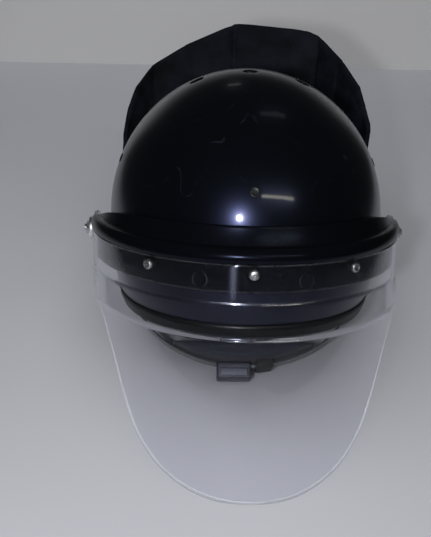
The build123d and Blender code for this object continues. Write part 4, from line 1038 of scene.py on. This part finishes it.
tone.color_ramp.elements[1].position, tone.color_ramp.elements[1].color = 0.75, linear("#151720")
folds = add(tree, "Bump", {"Height": crease.outputs["Fac"], "Strength": 0.35, "Distance": 0.004})
threads = add(tree, "Bump", {"Height": weave.outputs[0], "Strength": 0.25, "Distance": 0.0004,
                             "Normal": folds.outputs["Normal"]})
matt = add(tree, "BsdfPrincipled", {"Base Color": tone.outputs["Color"], "Roughness": 0.75,
                                    "Specular IOR Level": 0.15, "Normal": threads.outputs["Normal"]})
add(tree, "OutputMaterial", {"Surface": matt.outputs[0]})
guard.data.materials.append(cloth)
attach(guard, "helmet")
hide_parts("neck_guard")
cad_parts["guard_snaps"].material_slots[0].material = worn_black

# Chin strap: 20 mm black polyester webbing, 2 mm thick, hung as a loop from two steel anchors that are
# riveted inside the shell. The loop's plane leans towards the face, so points are given as (across, up in
# the plane, along the webbing's width).
strap_deep, strap_half, strap_forward = 81.5, 103.35, 41.5
anchor = np.array([0.0, -10.0, -60.0])
fall = np.array([0.0, -strap_forward, -math.sqrt(strap_deep**2 - strap_forward**2)]) / strap_deep
strap_up, strap_wide = -fall, np.array([0.0, fall[2], -fall[1]])


def in_strap(x, up, wide):
    """Upright points from places in the strap's leaning plane."""
    x, up, wide = np.broadcast_arrays(x, up, wide)
    sideways = x[..., None] * np.array([1.0, 0, 0])
    return anchor + sideways + up[..., None] * strap_up + wide[..., None] * strap_wide


def squared(wave, power):
    """A sine or cosine with its size raised to a power below 1, which squares a round section off."""
    return np.sign(wave) * np.abs(wave)**power


def webbing(name, x_from, x_to, tab):
    """A length of the loop as a band: a flat rounded section carried along the loop's half ellipse,
    with a short upright tab at its anchor end."""
    a0, a1 = (math.acos(max(-1, min(1, x / strap_half))) for x in (x_from, x_to))
    a = np.linspace(a0, a1, 90)
    mid_half, mid_deep = strap_half - 1, strap_deep - 1
    ends = np.stack([np.full(6, tab * mid_half), np.linspace(5, 0.3, 6)], axis=-1)
    line = np.concatenate([ends, np.stack([mid_half * np.cos(a), -mid_deep * np.sin(a)], axis=-1)])
    way = np.gradient(line, axis=0)
    way /= np.linalg.norm(way, axis=1, keepdims=True)
    off = np.stack([-way[:, 1], way[:, 0]], axis=-1)
    turn = np.linspace(0, 2 * np.pi, 28, endpoint=False)
    wide, thick = 9.75 * squared(np.cos(turn), 0.25), 0.95 * squared(np.sin(turn), 0.5)
    grid = in_strap(line[:, None, 0] + off[:, None, 0] * thick, line[:, None, 1] + off[:, None, 1] * thick,
                    wide[None, :])
    return skin(name, grid, wrap_second=True, cap_first=True)


# Polyester webbing: dull black, with ribs that break up the light. Real ribs are 1.6 mm apart, and are drawn
# 7.3 mm apart so that they show. They lie diagonally, where a wave pattern has root 3 over 2 times as many
# bands. The yarn's tone changes every 0.9 mm.
web, tree = blank("polyester webbing")
place = add(tree, "TexCoord")
ribs = add(tree, "TexWave", {"Vector": place.outputs["Object"],
                             "Scale": each(7.29) / bands_per_scale * 2 / math.sqrt(3), "Distortion": 1.0,
                             "Detail": 1.0}, bands_direction="DIAGONAL")
yarn = add(tree, "TexNoise", {"Vector": place.outputs["Object"], "Scale": each(0.91), "Detail": 2.0})
tone = add(tree, "ValToRGB", {"Fac": yarn.outputs["Fac"]})
tone.color_ramp.elements[0].color, tone.color_ramp.elements[1].color = linear("#14161b"), linear("#2a2d35")
raised = add(tree, "Bump", {"Height": ribs.outputs["Fac"], "Strength": 0.5, "Distance": 0.0005})
dull = add(tree, "BsdfPrincipled", {"Base Color": tone.outputs["Color"], "Roughness": 0.7,
                                    "Sheen Weight": 0.15, "Normal": raised.outputs["Normal"]})
add(tree, "OutputMaterial", {"Surface": dull.outputs[0]})
for name, node, x_from, x_to, tab in [
    ("webbing_left", "chin_strap_left", -strap_half, -23.5, -1),
    ("webbing_right", "chin_strap_right", strap_half, 10.5, 1),
]:
    band = webbing(name, x_from, x_to, tab)
    band.data.materials.append(web)
    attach(band, "helmet")
    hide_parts(node)
for name in ("strap_anchors", "strap_rivets"):
    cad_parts[name].material_slots[0].material = zinc

# Chin cup: a soft crescent of foam under the same brushed cloth as the pads, sewn on top of the webbing, so
# that the chin rests in it.
cup_half, cup_half_wide, cup_floor, cup_seat, seat_flatter = 62.0, 19.6, -76.1, -60.6, 13.4
p, turn = np.linspace(-1, 1, 81)[:, None], np.linspace(0, 2 * np.pi, 40, endpoint=False)[None, :]


def bow(x, low_point, end_rise):
    """Height at x of the circle that runs level through a low point and has risen by end_rise at 62 mm."""
    radius = (cup_half**2 + end_rise**2) / (2 * end_rise)
    return low_point + radius - np.sqrt(radius**2 - x**2)


cup_x = (cup_half - 0.4) * p
under_rise = strap_deep * (1 - math.sqrt(1 - (cup_half / 103.87)**2)) - 2
under_side = bow(cup_x, cup_floor, under_rise)
upper_side = bow(cup_x, cup_seat, under_rise - seat_flatter)
full = np.sqrt((1 - np.abs(p)**5).clip(0.0))
cup_up = ((upper_side + under_side) / 2
          + (upper_side - under_side) / 2 * (0.25 + 0.75 * full) * squared(np.sin(turn), 0.55))
cup_wide = cup_half_wide * (0.6 + 0.4 * full) * squared(np.cos(turn), 0.45)
cup = skin("chin_cushion", in_strap(cup_x, cup_up, cup_wide), wrap_second=True, cap_first=True)
cup.data.materials.append(brushed)
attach(cup, "helmet")
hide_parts("chin_cup")

# Buckle: a housing of moulded acetal on the left webbing, with a sprung push button in its lower face. The
# right webbing runs through a black slider to a dark steel tongue, which the housing holds.
strap_low = 1 - strap_deep
strap_axes = (np.array([1.0, 0, 0]), strap_up, strap_wide)


def acetal(name, colour, roughness, specular=0.5):
    """Moulded acetal: an even satin plastic, with the fine spark grain of the mould, 0.8 mm apart."""
    made, tree = blank(name)
    place = add(tree, "TexCoord")
    spark = add(tree, "TexNoise", {"Vector": place.outputs["Object"], "Scale": each(0.77), "Detail": 2.0})
    fine = add(tree, "Bump", {"Height": spark.outputs["Fac"], "Strength": 0.12, "Distance": 0.0003})
    satin = add(tree, "BsdfPrincipled", {"Base Color": linear(colour), "Roughness": roughness,
                                         "Specular IOR Level": specular, "Normal": fine.outputs["Normal"]})
    add(tree, "OutputMaterial", {"Surface": satin.outputs[0]})
    return made


housing = slab("buckle_housing", in_strap(-8.5, strap_low - 4.4, 0.0), strap_axes, (29, 14, 22), 1.8, 6)
housing.data.materials.append(acetal("moulded grey acetal", "#262935", 0.38))
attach(housing, "helmet")
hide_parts("buckle_body")
button = slab("push_button", in_strap(-8.5, strap_low - 6.0, 9.0), strap_axes, (24, 7, 6), 1.2, 5)
button.data.materials.append(acetal("moulded pale grey acetal", "#3d414f", 0.42))
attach(button, "release")
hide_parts("buckle_release")
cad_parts["strap_slider"].material_slots[0].material = acetal(
    "moulded black acetal", "#0c0d12", 0.5, specular=0.2)

# Plain dark steel: a grey metal far darker than the zinc-plated parts, with a haze that changes every 1 mm.
dark_steel, tree = blank("plain dark steel")
place = add(tree, "TexCoord")
spots = add(tree, "TexNoise", {"Vector": place.outputs["Object"], "Scale": each(1.11), "Detail": 3.0})
dull = add(tree, "MapRange", {"Value": spots.outputs["Fac"], "To Min": 0.3, "To Max": 0.45})
metal = add(tree, "BsdfPrincipled", {"Base Color": linear("#5b5e64"), "Metallic": 1.0,
                                     "Roughness": dull.outputs["Result"]})
add(tree, "OutputMaterial", {"Surface": metal.outputs[0]})
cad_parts["buckle_tongue"].material_slots[0].material = dark_steel
